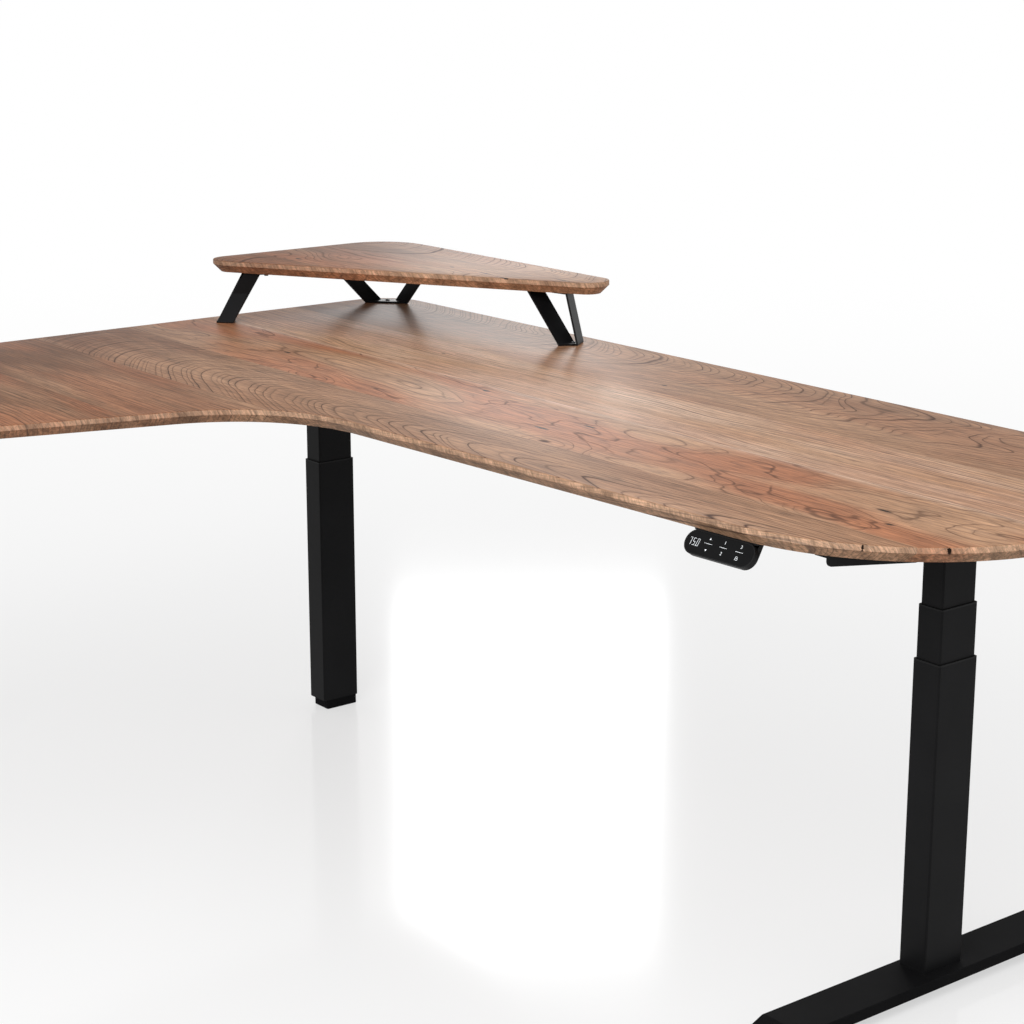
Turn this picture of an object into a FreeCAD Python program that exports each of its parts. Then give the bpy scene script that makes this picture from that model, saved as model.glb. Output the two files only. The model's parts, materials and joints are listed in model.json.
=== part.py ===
"""L-shaped standing desk: timber top and corner shelf on three telescopic columns. Millimetres, +Z up."""
import FreeCAD
import Part
import math
import os

V = FreeCAD.Vector

# Overall size
DESK_LENGTH = 2237.0
WING_LENGTH = 1780.0
DESK_HEIGHT = 750.0

# Timber boards
BOARD_THICK = 25.0
BOARD_BEVEL = 16.0
BOARD_ROUND = 1.5
BACK_CORNER_R = 100.0
RIGHT_END_R = 348.0
LEFT_END_R = 210.0
INNER_R = 256.0
INNER_CORNER_X = 838.0
INNER_CORNER_Y = 826.5
FRONT_TAPER = 2.6
WING_TAPER = 15.92
PILOT_DEPTH = 17.0

# Corner shelf
SHELF_RISE = 100.0
SHELF_DEPTH = 509.0
SHELF_ANGLE = 30.0
SHELF_BACK_R = 108.0
SHELF_TIP_R = 44.0
BRACKET_PLATE = 4.0
BACK_BRACKET_IN = 45.0
BACK_BRACKET_STRIP = 44.0
BACK_BRACKET_LEFT = 63.0
BACK_BRACKET_RIGHT = 71.0
BACK_BRACKET_DEEP = 43.0
RIGHT_BRACKET_X = 709.0
RIGHT_BRACKET_Y = 69.0
RIGHT_BRACKET_STRIP = 39.0
RIGHT_BRACKET_WIDE = 24.0
RIGHT_BRACKET_DEEP = 34.0
RIGHT_BRACKET_SKEW = 8.0
LEFT_BRACKET_X = 41.0
LEFT_BRACKET_Y = 473.0
LEFT_BRACKET_STRIP = 24.5
LEFT_BRACKET_WIDE = 30.5
FLANGE_LENGTH = 46.0
BEND_R = 1.9

# Telescopic columns
TUBE_LONG = 81.5
TUBE_SHORT = 51.5
TUBE_STEP = 5.2
TUBE_WALL = 1.5
TUBE_R = 3.0
OUTER_TOP = 514.6
MID_LENGTH = 480.0
INNER_LENGTH = 465.0
INNER_EXTRA = 10.8
COLLAR_RIM = 2.5
COLLAR_DEPTH = 42.0
SLIDE_GAP = 0.25
SEAT_GAP = 0.1
BEARING_PLATE = 6.0
HEAD_PLATE = 6.0
HEAD_R = 6.0

# Drive inside a column
FIXED_SCREW_R = 8.0
FIXED_SCREW_BORE = 6.0
FIXED_SCREW_TOP = 420.0
FIXED_FLANGE = 5.0
LEAD_SCREW_R = 12.0
LEAD_SCREW_BORE = 8.5
LEAD_SCREW_DROP = 55.0
LEAD_COLLAR_R = 17.0
LEAD_COLLAR = 6.0
HEX_BUSH = 20.0
SHAFT_FLATS = 9.0
SHAFT_LENGTH = 434.0
TURN_GAP = 0.3
NUT_HEIGHT = 25.0
GEARBOX_HIGH = 25.0
GEARBOX_LONG = 70.0
GEARBOX_SHORT = 48.0
MOTOR_R = 13.0
MOTOR_REACH = 132.0

# Column places, from the back corner of the desktop
LEG_BACK = 442.5
CORNER_LEG_X = 399.2
RIGHT_LEG_X = 2008.0
LEFT_LEG_X = 350.0
LEFT_LEG_Y = -1500.0

# Feet
FOOT_WIDTH = 81.0
FOOT_SHIFT = 5.5
FOOT_TOP = 33.5
FOOT_LOW = 16.5
FOOT_WALL = 3.0
FOOT_SLOPE = 32.0
FOOT_LIP = 3.0
FOOT_FOLD_R = 2.0
RIGHT_FOOT_HALF = 347.0
LEFT_FOOT_HALF = 311.0
BLOCK_LONG = 70.5
BLOCK_SHORT = 48.0
BLOCK_LOW = 1.5
BLOCK_TOP = 20.3
BLOCK_SHIFT = 3.3
BLOCK_R = 3.0
PAD_R = 17.0
PAD_HIGH = 9.0
PAD_INSET = 62.0
SMALL_PAD_R = 11.0
SMALL_PAD_HIGH = 5.0
SMALL_PAD_INSET = 16.0
PAD_SIDES = 32
PAD_CHAMFER = 1.5
STUD_R = 4.0
BUSH_WALL = 5.0

# Frame under the top
SIDE_HALF = 284.0
SIDE_WIDTH = 60.0
SIDE_END_DEPTH = 15.7
SIDE_END_WIDTH = 25.0
SIDE_MID_DEPTH = 40.5
SIDE_FLAT_HALF = 108.0
SIDE_INNER_HALF = 150.0
SIDE_NOSE_R = 9.0
FRAME_PLATE = 4.0
FRAME_WALL = 3.0
TRAY_BACK = 150.0
TRAY_FRONT = 110.0
TRAY_DEPTH = 35.0
TRAY_SCREW_IN = 18.0
RAIL_WIDE = 40.0
RAIL_HIGH = 20.0
RAIL_WALL = 2.0
RAIL_OFFSET = 75.0

# Fixings
SCREW_R = 2.0
SCREW_HEAD_R = 4.5
SCREW_HEAD = 2.5
HOLE_GAP = 0.2
BOLT_R = 3.0
BOLT_HEAD_R = 5.5
BOLT_HEAD = 5.0
BOLT_LONG = 55.0
BOLT_SHORT = 16.0

# Hand control
HANDSET_X = 1874.5
HANDSET_LENGTH = 132.0
HANDSET_FACE = 37.0
HANDSET_BODY = 13.0
HANDSET_PANEL = 1.6
HANDSET_TILT = 33.0
HANDSET_DROP = 1.3
HANDSET_RIM = 2.0
MOUNT_PLATE = 3.0
MOUNT_WIDE = 126.0
MOUNT_DEEP = 47.0
MOUNT_R = 8.0

# Control box
BOX_LENGTH = 260.0
BOX_WIDTH = 104.0
BOX_HIGH = 34.0
BOX_X = 1240.0
BOX_BACK = 250.0
INLET_SHIFT = 80.0
INLET_WIDE = 27.0
INLET_HIGH = 20.0
INLET_DEEP = 14.0
INLET_PROUD = 1.5
INLET_WALL = 2.5
INLET_PITCH = 7.0
BOX_WALL = 2.5
BOX_R = 5.0
EAR_REACH = 18.0
EAR_WIDE = 28.0
EAR_PLATE = 4.0

UNDER = DESK_HEIGHT - BOARD_THICK
SHELF_UNDER = DESK_HEIGHT + SHELF_RISE
PLATE_UNDER = UNDER - FRAME_PLATE

# Column stages at this height: the middle tube always stands half way
HEAD_TOP = PLATE_UNDER - GEARBOX_HIGH
INNER_TOP = HEAD_TOP - HEAD_PLATE
MID_TOP = OUTER_TOP + (INNER_TOP - OUTER_TOP - INNER_EXTRA) / 2
LEAD_SCREW_TOP = MID_TOP - LEAD_SCREW_DROP
SHAFT_BOTTOM = HEAD_TOP - SHAFT_LENGTH

nodes = {}
desk_holes = []
shelf_holes = []
top_screws = []
shelf_screws = []
foot_screws = []
column_bolts = []


def block(x0, x1, y0, y1, z0, z1):
    return Part.makeBox(x1 - x0, y1 - y0, z1 - z0, V(x0, y0, z0))


def rod(x, y, z0, z1, radius):
    return Part.makeCylinder(radius, z1 - z0, V(x, y, z0))


def prism(points, height):
    face = Part.Face(Part.makePolygon(points + [points[0]]))
    return face.extrude(height)


def peg(x, y, z0, z1, radius, sides=8):
    """Many-sided pin or hole for small fixings."""
    angles = [2 * math.pi * i / sides for i in range(sides)]
    points = [V(x + radius * math.cos(a), y + radius * math.sin(a), z0) for a in angles]
    return prism(points, V(0, 0, z1 - z0))


def rounded_outline(points, radii, z):
    """Closed wire through points with each corner rounded."""
    starts, ends, mids = [], [], []
    count = len(points)
    for i in range(count):
        here = points[i]
        back = (points[i - 1] - here).normalize()
        ahead = (points[(i + 1) % count] - here).normalize()
        half = back.getAngle(ahead) / 2
        reach = radii[i] / math.tan(half)
        bisector = (back + ahead).normalize()
        centre = here + bisector * (radii[i] / math.sin(half))
        starts.append(here + back * reach)
        ends.append(here + ahead * reach)
        mids.append(centre - bisector * radii[i])
    lift = V(0, 0, z)
    edges = []
    for i in range(count):
        edges.append(Part.Arc(starts[i] + lift, mids[i] + lift, ends[i] + lift).toShape())
        after = starts[(i + 1) % count]
        if (after - ends[i]).Length > 0.01:
            edges.append(Part.makeLine(ends[i] + lift, after + lift))
    return Part.Wire(edges)


def board(points, radii, z0):
    """Timber board with a rounded upper arris and a 45 degree bevel below."""
    solid = Part.Face(rounded_outline(points, radii, z0)).extrude(V(0, 0, BOARD_THICK))
    low = [e for e in solid.Edges if e.BoundBox.ZMax < z0 + 0.01]
    solid = solid.makeChamfer(BOARD_BEVEL, low)
    high = [e for e in solid.Edges if e.BoundBox.ZMin > z0 + BOARD_THICK - 0.01]
    return solid.makeFillet(BOARD_ROUND, high)


def rounded_bar(long_y, short_x, radius, z0, z1):
    hx, hy = short_x / 2, long_y / 2
    corners = [V(-hx, -hy, 0), V(hx, -hy, 0), V(hx, hy, 0), V(-hx, hy, 0)]
    return Part.Face(rounded_outline(corners, [radius] * 4, z0)).extrude(V(0, 0, z1 - z0))


def hexagon(flats, z0, z1):
    corner = flats / math.sqrt(3)
    return peg(0, 0, z0, z1, corner, 6)


def wood_screw(x, y, z, holes, length=PILOT_DEPTH - 2, skip=0.0):
    """Flat-head screw driven upward from z; skip is the metal it passes through."""
    holes.append(peg(x, y, z + skip, z + skip + PILOT_DEPTH, SCREW_R + HOLE_GAP))
    shank = peg(x, y, z, z + skip + length, SCREW_R)
    return shank.fuse(peg(x, y, z - SCREW_HEAD, z, SCREW_HEAD_R, 12)).removeSplitter()


def place(shape, x, y, turn):
    shape = shape.copy()
    shape.rotate(V(0, 0, 0), V(0, 0, 1), turn)
    shape.translate(V(x, y, 0))
    return shape


# Desktop outline, clockwise from the back corner
INNER_CORNER = V(INNER_CORNER_X, -INNER_CORNER_Y, 0)
front_run = V(math.cos(math.radians(FRONT_TAPER)), math.sin(math.radians(FRONT_TAPER)), 0)
wing_run = V(-math.sin(math.radians(WING_TAPER)), -math.cos(math.radians(WING_TAPER)), 0)
right_front = INNER_CORNER + front_run * ((DESK_LENGTH - INNER_CORNER.x) / front_run.x)
left_front = INNER_CORNER + wing_run * ((-WING_LENGTH - INNER_CORNER.y) / wing_run.y)
desk_points = [V(0, 0, 0), V(DESK_LENGTH, 0, 0), right_front, INNER_CORNER, left_front]
desk_points.append(V(0, -WING_LENGTH, 0))
desk_radii = [BACK_CORNER_R, BACK_CORNER_R, RIGHT_END_R, INNER_R, LEFT_END_R, BACK_CORNER_R]
desktop = board(desk_points, desk_radii, UNDER)

# Shelf board, flush with both back edges of the desktop
shelf_length = SHELF_DEPTH / math.tan(math.radians(SHELF_ANGLE))
shelf_points = [V(0, 0, 0), V(shelf_length, 0, 0), V(0, -SHELF_DEPTH, 0)]
shelf_board = board(shelf_points, [SHELF_BACK_R, SHELF_TIP_R, SHELF_TIP_R], SHELF_UNDER)


def leaning_leg(side, run, inward):
    """Flat steel leg over the full rise, its outer face on the line side; run is its lean."""
    lean = V(run.x, run.y, SHELF_RISE)
    across = (side[1] - side[0]).cross(lean).normalize()
    if across.dot(inward) < 0:
        across = across * -1
    low = V(0, 0, DESK_HEIGHT) - lean * 0.1
    high = V(0, 0, DESK_HEIGHT) + lean * 1.1
    leg = prism([side[0] + low, side[1] + low, side[1] + high, side[0] + high], across * BRACKET_PLATE)
    return leg.common(block(-9e3, 9e3, -9e3, 9e3, DESK_HEIGHT, SHELF_UNDER))


def shelf_bracket(left, right, left_run, right_run, left_reach, right_reach, screw_spot=None):
    """Foot plate with two leaning legs folded up from it, each ending in a flange under the shelf."""
    centre = (left[0] + left[1] + right[0] + right[1]) * 0.25
    plate = V(0, 0, BRACKET_PLATE)
    foot_z, flange_z = V(0, 0, DESK_HEIGHT), V(0, 0, SHELF_UNDER - BRACKET_PLATE)
    pieces, foot, bends, holes = [], [], [], []
    for side, run, reach in ((left, left_run, left_reach), (right, right_run, right_reach)):
        along = (side[1] - side[0]).normalize()
        inward = V(-along.y, along.x, 0)
        middle = (side[0] + side[1]) * 0.5
        if inward.dot(centre - middle) < 0:
            inward = inward * -1
        pieces.append(leaning_leg(side, run, inward))
        # Where foot and flange start inside the leaning leg's own thickness
        slant = run.dot(inward) / SHELF_RISE
        thick = BRACKET_PLATE * math.sqrt(1 + slant ** 2)
        shift = slant * BRACKET_PLATE
        foot_in = inward * ((max(0, shift) + min(thick, thick + shift)) / 2)
        top_in = inward * ((max(0, -shift) + min(thick, thick - shift)) / 2)
        foot.append([p + foot_in + foot_z for p in side])
        root = [p + run + top_in + flange_z for p in side]
        out = reach * FLANGE_LENGTH
        pieces.append(prism([root[0], root[1], root[1] + out, root[0] + out], plate))
        spot = middle + run + top_in + out * 0.6
        holes.append(peg(spot.x, spot.y, SHELF_UNDER - 20, SHELF_UNDER + 1, SCREW_R + HOLE_GAP))
        head = SHELF_UNDER - BRACKET_PLATE
        shelf_screws.append(wood_screw(spot.x, spot.y, head, shelf_holes, skip=BRACKET_PLATE))
        bends.append(middle + foot_z)
        fold = inward * thick if reach.dot(inward) < 0 else V(0, 0, 0)
        bends.append(middle + run + flange_z + plate + fold)
    solid = prism([foot[0][0], foot[1][0], foot[1][1], foot[0][1]], plate)
    for piece in pieces:
        solid = solid.fuse(piece)
    solid = solid.removeSplitter()
    folds = [e for e in solid.Edges if min((e.CenterOfMass - b).Length for b in bends) < 0.6]
    solid = solid.makeFillet(BEND_R, folds)
    spot = screw_spot or centre
    holes.append(peg(spot.x, spot.y, DESK_HEIGHT - 1, DESK_HEIGHT + BRACKET_PLATE + 1, SCREW_R + HOLE_GAP))
    for hole in holes:
        solid = solid.cut(hole)
    desk_holes.append(peg(spot.x, spot.y, DESK_HEIGHT - PILOT_DEPTH, DESK_HEIGHT, SCREW_R + HOLE_GAP))
    top = DESK_HEIGHT + BRACKET_PLATE
    shank = peg(spot.x, spot.y, top - PILOT_DEPTH, top, SCREW_R)
    head = peg(spot.x, spot.y, top, top + SCREW_HEAD, SCREW_HEAD_R, 12)
    foot_screws.append(shank.fuse(head).removeSplitter())
    return solid.removeSplitter()


back_left = [V(BACK_BRACKET_IN, -BACK_BRACKET_LEFT - BACK_BRACKET_STRIP, 0)]
back_left.append(V(BACK_BRACKET_IN, -BACK_BRACKET_LEFT, 0))
back_right = [V(BACK_BRACKET_RIGHT + BACK_BRACKET_STRIP, -BACK_BRACKET_DEEP, 0)]
back_right.append(V(BACK_BRACKET_RIGHT, -BACK_BRACKET_DEEP, 0))
nodes["shelf_bracket_back"] = shelf_bracket(
    back_left, back_right, V(0, -SHELF_RISE, 0), V(SHELF_RISE, 0, 0), V(1, 0, 0), V(0, -1, 0))
hinge_line = V(RIGHT_BRACKET_X, -RIGHT_BRACKET_Y, 0)
far_left = [hinge_line + V(0, -RIGHT_BRACKET_STRIP, 0), hinge_line]
far_right = [hinge_line + V(RIGHT_BRACKET_WIDE, -RIGHT_BRACKET_SKEW, 0)]
far_right.append(far_right[0] + V(-RIGHT_BRACKET_WIDE, RIGHT_BRACKET_DEEP, 0))
nodes["shelf_bracket_right"] = shelf_bracket(
    far_left, far_right, V(-1.03 * SHELF_RISE, 0, 0), V(-0.36 * SHELF_RISE, 0, 0),
    V(-1, 0, 0), V(-0.8, -0.15, 0),
    hinge_line + V(RIGHT_BRACKET_SKEW, -RIGHT_BRACKET_SKEW, 0))
slant_strip = V(LEFT_BRACKET_STRIP, LEFT_BRACKET_STRIP, 0)
near_right = [V(LEFT_BRACKET_X, -LEFT_BRACKET_Y, 0), V(LEFT_BRACKET_X, -LEFT_BRACKET_Y, 0) + slant_strip]
near_left = [p + V(LEFT_BRACKET_WIDE, -LEFT_BRACKET_STRIP, 0) for p in near_right]
nodes["shelf_bracket_left"] = shelf_bracket(
    near_left, near_right,
    V(-0.12 * SHELF_RISE, 0.75 * SHELF_RISE, 0), V(0.41 * SHELF_RISE, 0.41 * SHELF_RISE, 0),
    V(-0.7, 0.7, 0), V(0.5, 0.87, 0))


def column(name, x, y, turn, beam_half):
    """One three-stage column with its foot and drive, built about its own axis."""
    mid_long, mid_short = TUBE_LONG - TUBE_STEP, TUBE_SHORT - TUBE_STEP
    in_long, in_short = mid_long - TUBE_STEP, mid_short - TUBE_STEP
    floor = FOOT_TOP if beam_half else BLOCK_TOP
    parts = {}

    def tube(long_y, short_x, radius, z0, z1):
        hollow = rounded_bar(long_y - 2 * TUBE_WALL, short_x - 2 * TUBE_WALL, radius - TUBE_WALL, z0, z1)
        return rounded_bar(long_y, short_x, radius, z0, z1).cut(hollow)

    def collar(long_y, short_x, radius, top):
        """Rim on the tube end and a thin sliding sleeve inside it."""
        bore_long = long_y - TUBE_STEP + 2 * SLIDE_GAP
        bore_short = short_x - TUBE_STEP + 2 * SLIDE_GAP
        rim = rounded_bar(long_y, short_x, radius, top, top + COLLAR_RIM)
        inside = 2 * TUBE_WALL + 2 * SEAT_GAP
        sleeve = rounded_bar(long_y - inside, short_x - inside, radius - TUBE_WALL, top - COLLAR_DEPTH, top)
        bore = rounded_bar(bore_long, bore_short, radius - 1, top - COLLAR_DEPTH, top + COLLAR_RIM)
        return rim.fuse(sleeve).cut(bore).removeSplitter()

    parts["outer_tube"] = tube(TUBE_LONG, TUBE_SHORT, TUBE_R, floor, OUTER_TOP)
    parts["outer_collar"] = collar(TUBE_LONG, TUBE_SHORT, TUBE_R, OUTER_TOP)
    mid_low = MID_TOP - MID_LENGTH
    mid = tube(mid_long, mid_short, TUBE_R, mid_low, MID_TOP)
    bearing = rounded_bar(mid_long - 1, mid_short - 1, TUBE_R - 0.5, mid_low, mid_low + BEARING_PLATE)
    bearing = bearing.cut(rod(0, 0, mid_low, mid_low + BEARING_PLATE, LEAD_SCREW_R + TURN_GAP))
    parts["mid_tube"] = mid.fuse(bearing).removeSplitter()
    parts["mid_collar"] = collar(mid_long, mid_short, TUBE_R, MID_TOP)
    inner_low = INNER_TOP - INNER_LENGTH
    inner = tube(in_long, in_short, TUBE_R, inner_low, INNER_TOP)
    head = rounded_bar(2 * BOLT_LONG + 24, 2 * BOLT_SHORT + 20, HEAD_R, INNER_TOP, HEAD_TOP)
    head = head.cut(rod(0, 0, INNER_TOP, HEAD_TOP, SHAFT_FLATS))
    for sx in (-1, 1):
        for sy in (-1, 1):
            bx, by = sx * BOLT_SHORT, sy * BOLT_LONG
            head = head.cut(peg(bx, by, INNER_TOP, HEAD_TOP, BOLT_R + HOLE_GAP))
            bolt = peg(bx, by, INNER_TOP, UNDER, BOLT_R)
            bolt = bolt.fuse(peg(bx, by, HEAD_TOP, PLATE_UNDER, BOLT_R + 2))
            grip = hexagon(2 * BOLT_HEAD_R, INNER_TOP - BOLT_HEAD, INNER_TOP)
            grip.translate(V(bx, by, 0))
            column_bolts.append(place(bolt.fuse(grip).removeSplitter(), x, y, turn))
    parts["inner_tube"] = inner.fuse(head).removeSplitter()

    flange = rod(0, 0, floor, floor + FIXED_FLANGE, FIXED_SCREW_R + 6)
    screw = rod(0, 0, floor, FIXED_SCREW_TOP, FIXED_SCREW_R).fuse(flange)
    parts["fixed_screw"] = screw.cut(rod(0, 0, floor, FIXED_SCREW_TOP, FIXED_SCREW_BORE)).removeSplitter()

    lead_low = mid_low + 1
    seat = mid_low + BEARING_PLATE + SEAT_GAP
    lead = rod(0, 0, lead_low, LEAD_SCREW_TOP, LEAD_SCREW_R)
    lead = lead.fuse(rod(0, 0, seat, seat + LEAD_COLLAR, LEAD_COLLAR_R))
    lead = lead.cut(rod(0, 0, lead_low, LEAD_SCREW_TOP - HEX_BUSH, LEAD_SCREW_BORE))
    lead = lead.cut(hexagon(SHAFT_FLATS + 2 * TURN_GAP, LEAD_SCREW_TOP - HEX_BUSH, LEAD_SCREW_TOP))
    parts["lead_screw"] = lead.removeSplitter()
    parts["drive_shaft"] = hexagon(SHAFT_FLATS, SHAFT_BOTTOM, HEAD_TOP - SEAT_GAP)

    room = 2 * TUBE_WALL + 2 * SEAT_GAP
    nut = rounded_bar(in_long - room, in_short - room, TUBE_R - 1, inner_low, inner_low + NUT_HEIGHT)
    parts["lift_nut"] = nut.cut(rod(0, 0, inner_low, inner_low + NUT_HEIGHT, LEAD_SCREW_R + TURN_GAP))

    gearbox = rounded_bar(GEARBOX_LONG, GEARBOX_SHORT, 5, HEAD_TOP, PLATE_UNDER)
    axle = (HEAD_TOP + PLATE_UNDER) / 2
    motor = Part.makeCylinder(MOTOR_R - 0.7, MOTOR_REACH, V(0, 0, axle), V(-1, 0, 0))
    cap = Part.makeCylinder(MOTOR_R - 3, 8, V(-MOTOR_REACH, 0, axle), V(-1, 0, 0))
    parts["gear_motor"] = gearbox.fuse(motor).fuse(cap).removeSplitter()

    if beam_half:
        foot, pads = foot_beam(beam_half)
    else:
        foot, pads = foot_block()
    parts["foot"] = foot
    parts["levellers"] = Part.Compound(pads)
    for key, shape in parts.items():
        nodes[name + "_" + key] = place(shape, x, y, turn)


def leveller(x, y, radius, high, seat):
    """Round pad on a threaded stud."""
    pad = peg(x, y, 0, high, radius, PAD_SIDES)
    rim = [e for e in pad.Edges if e.BoundBox.ZMax < 0.01 or e.BoundBox.ZMin > high - 0.01]
    return pad.makeChamfer(PAD_CHAMFER, rim).fuse(peg(x, y, high - 1, seat, STUD_R)).removeSplitter()


def foot_beam(half):
    """Flat steel channel, open below, with sloping ends; two levellers screw into its top."""
    top_half = half - FOOT_SLOPE
    profile = [V(0, -half, FOOT_LOW), V(0, half, FOOT_LOW), V(0, half, FOOT_LOW + FOOT_LIP)]
    profile += [V(0, top_half, FOOT_TOP), V(0, -top_half, FOOT_TOP), V(0, -half, FOOT_LOW + FOOT_LIP)]
    beam = prism([p + V(FOOT_SHIFT - FOOT_WIDTH / 2, 0, 0) for p in profile], V(FOOT_WIDTH, 0, 0))
    folds = [e for e in beam.Edges if abs(e.Length - 2 * top_half) < 0.1]
    beam = beam.makeFillet(FOOT_FOLD_R, folds)
    room = FOOT_WIDTH - 2 * FOOT_WALL
    roof = FOOT_TOP - FOOT_WALL
    hollow = [V(0, -half + FOOT_WALL, FOOT_LOW), V(0, half - FOOT_WALL, FOOT_LOW)]
    hollow += [V(0, top_half - FOOT_WALL, roof), V(0, -top_half + FOOT_WALL, roof)]
    beam = beam.cut(prism([p + V(FOOT_SHIFT - room / 2, 0, 0) for p in hollow], V(room, 0, 0)))
    pads = []
    for side in (-1, 1):
        y = side * (half - PAD_INSET)
        beam = beam.fuse(peg(FOOT_SHIFT, y, FOOT_LOW, roof, STUD_R + BUSH_WALL, PAD_SIDES))
        beam = beam.cut(peg(FOOT_SHIFT, y, FOOT_LOW, roof, STUD_R + HOLE_GAP))
        pads.append(leveller(FOOT_SHIFT, y, PAD_R, PAD_HIGH, roof))
    return beam.removeSplitter(), pads


def foot_block():
    """Small steel block under the corner column, its two levellers sunk into it."""
    base = rounded_bar(BLOCK_LONG, BLOCK_SHORT, BLOCK_R, BLOCK_LOW, BLOCK_TOP)
    base.translate(V(0, BLOCK_SHIFT, 0))
    pads = []
    seat = BLOCK_TOP - FOOT_WALL
    for side in (-1, 1):
        y = BLOCK_SHIFT + side * (BLOCK_LONG / 2 - SMALL_PAD_INSET)
        base = base.cut(peg(0, y, 0, SMALL_PAD_HIGH + 1, SMALL_PAD_R + 1, PAD_SIDES))
        base = base.cut(peg(0, y, 0, seat, STUD_R + HOLE_GAP))
        pads.append(leveller(0, y, SMALL_PAD_R, SMALL_PAD_HIGH, seat))
    return base.removeSplitter(), pads


def head_room(shape):
    """Holes for the four column bolts and the opening for the motor."""
    for sx in (-1, 1):
        for sy in (-1, 1):
            shape = shape.cut(peg(sx * BOLT_SHORT, sy * BOLT_LONG, PLATE_UNDER, UNDER, BOLT_R + HOLE_GAP))
    return shape


def motor_opening(reach):
    low = HEAD_TOP - 3
    return block(-reach, 0, -MOTOR_R - 3, MOTOR_R + 3, low, PLATE_UNDER)


def side_bracket(x, y, turn):
    """Folded steel channel, open below and at both ends.

    The outer flange runs full length to rounded noses; the inner one only flanks the column head.
    """
    low_end = UNDER - SIDE_END_DEPTH
    low_mid = UNDER - SIDE_MID_DEPTH
    edge = SIDE_WIDTH / 2
    profile = [V(0, -SIDE_HALF, UNDER), V(0, SIDE_HALF, UNDER), V(0, SIDE_HALF, low_end)]
    profile += [V(0, SIDE_FLAT_HALF, low_mid), V(0, -SIDE_FLAT_HALF, low_mid), V(0, -SIDE_HALF, low_end)]
    solid = prism([p + V(-edge, 0, 0) for p in profile], V(SIDE_WIDTH, 0, 0))
    nose = [e for e in solid.Edges
            if abs(e.Length - SIDE_WIDTH) < 0.01 and abs(e.BoundBox.ZMax - low_end) < 0.01]
    solid = solid.makeFillet(SIDE_NOSE_R, nose)
    inside = edge - FRAME_WALL
    solid = solid.cut(block(-inside, inside, -SIDE_HALF, SIDE_HALF, low_mid, PLATE_UNDER))
    for side in (-1, 1):
        # The plate narrows from the end of the inner flange to the nose
        start, end = side * SIDE_INNER_HALF, side * SIDE_HALF
        corner = [V(-edge, start, low_mid), V(-edge, end, low_mid), V(edge - SIDE_END_WIDTH, end, low_mid)]
        solid = solid.cut(prism(corner, V(0, 0, SIDE_MID_DEPTH)))
    solid = head_room(solid).cut(motor_opening(SIDE_WIDTH))
    screws = []
    for side in (-1, 1):
        screws.append((0, side * SIDE_INNER_HALF))
        screws.append((edge - SIDE_END_WIDTH / 2, side * SIDE_HALF * 0.88))
    return with_screws(solid, screws, x, y, turn)


def with_screws(solid, spots, x, y, turn):
    """Drill the plate, place it, and drive wood screws up through it."""
    for sx, sy in spots:
        solid = solid.cut(peg(sx, sy, PLATE_UNDER, UNDER, SCREW_R + HOLE_GAP))
    angle = math.radians(turn)
    for sx, sy in spots:
        wx = x + sx * math.cos(angle) - sy * math.sin(angle)
        wy = y + sx * math.sin(angle) + sy * math.cos(angle)
        top_screws.append(wood_screw(wx, wy, PLATE_UNDER, desk_holes, skip=FRAME_PLATE))
    return place(solid.removeSplitter(), x, y, turn)


def corner_tray():
    """Steel tray, open below, over the corner column."""
    solid = block(-TRAY_BACK, TRAY_FRONT, -TRAY_FRONT, TRAY_FRONT, UNDER - TRAY_DEPTH, UNDER)
    uprights = [e for e in solid.Edges if abs(e.Length - TRAY_DEPTH) < 0.01]
    solid = solid.makeFillet(6.0, uprights)
    solid = solid.cut(block(-TRAY_BACK + FRAME_WALL, TRAY_FRONT - FRAME_WALL, -TRAY_FRONT + FRAME_WALL,
                            TRAY_FRONT - FRAME_WALL, UNDER - TRAY_DEPTH, PLATE_UNDER))
    solid = head_room(solid)
    back, front = -TRAY_BACK + TRAY_SCREW_IN, TRAY_FRONT - TRAY_SCREW_IN
    spots = [(sx, sy) for sx in (back, front) for sy in (-front, front)]
    return with_screws(solid, spots, CORNER_LEG_X, -LEG_BACK, 0)


def rail(length, x, y, turn):
    """Box rail along local X from the origin, screwed up into the top."""
    half = RAIL_WIDE / 2
    low = UNDER - RAIL_HIGH
    solid = block(0, length, -half, half, low, UNDER)
    long_edges = [e for e in solid.Edges if abs(e.Length - length) < 0.01]
    solid = solid.makeFillet(2.5, long_edges)
    room = half - RAIL_WALL
    solid = solid.cut(block(-1, length + 1, -room, room, low + RAIL_WALL, UNDER - RAIL_WALL))
    angle = math.radians(turn)
    for share in (0.08, 0.5, 0.92):
        sx = length * share
        solid = solid.cut(peg(sx, 0, low, UNDER, SCREW_R + HOLE_GAP))
        wx, wy = x + sx * math.cos(angle), y + sx * math.sin(angle)
        top_screws.append(wood_screw(wx, wy, low, desk_holes, skip=RAIL_HIGH))
    return place(solid.removeSplitter(), x, y, turn)


column("right", RIGHT_LEG_X, -LEG_BACK, 0, RIGHT_FOOT_HALF)
column("corner", CORNER_LEG_X, -LEG_BACK, 0, 0)
column("left", LEFT_LEG_X, LEFT_LEG_Y, -90, LEFT_FOOT_HALF)

nodes["right_side_bracket"] = side_bracket(RIGHT_LEG_X, -LEG_BACK, 0)
nodes["left_side_bracket"] = side_bracket(LEFT_LEG_X, LEFT_LEG_Y, -90)
nodes["corner_bracket"] = corner_tray()

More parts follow.
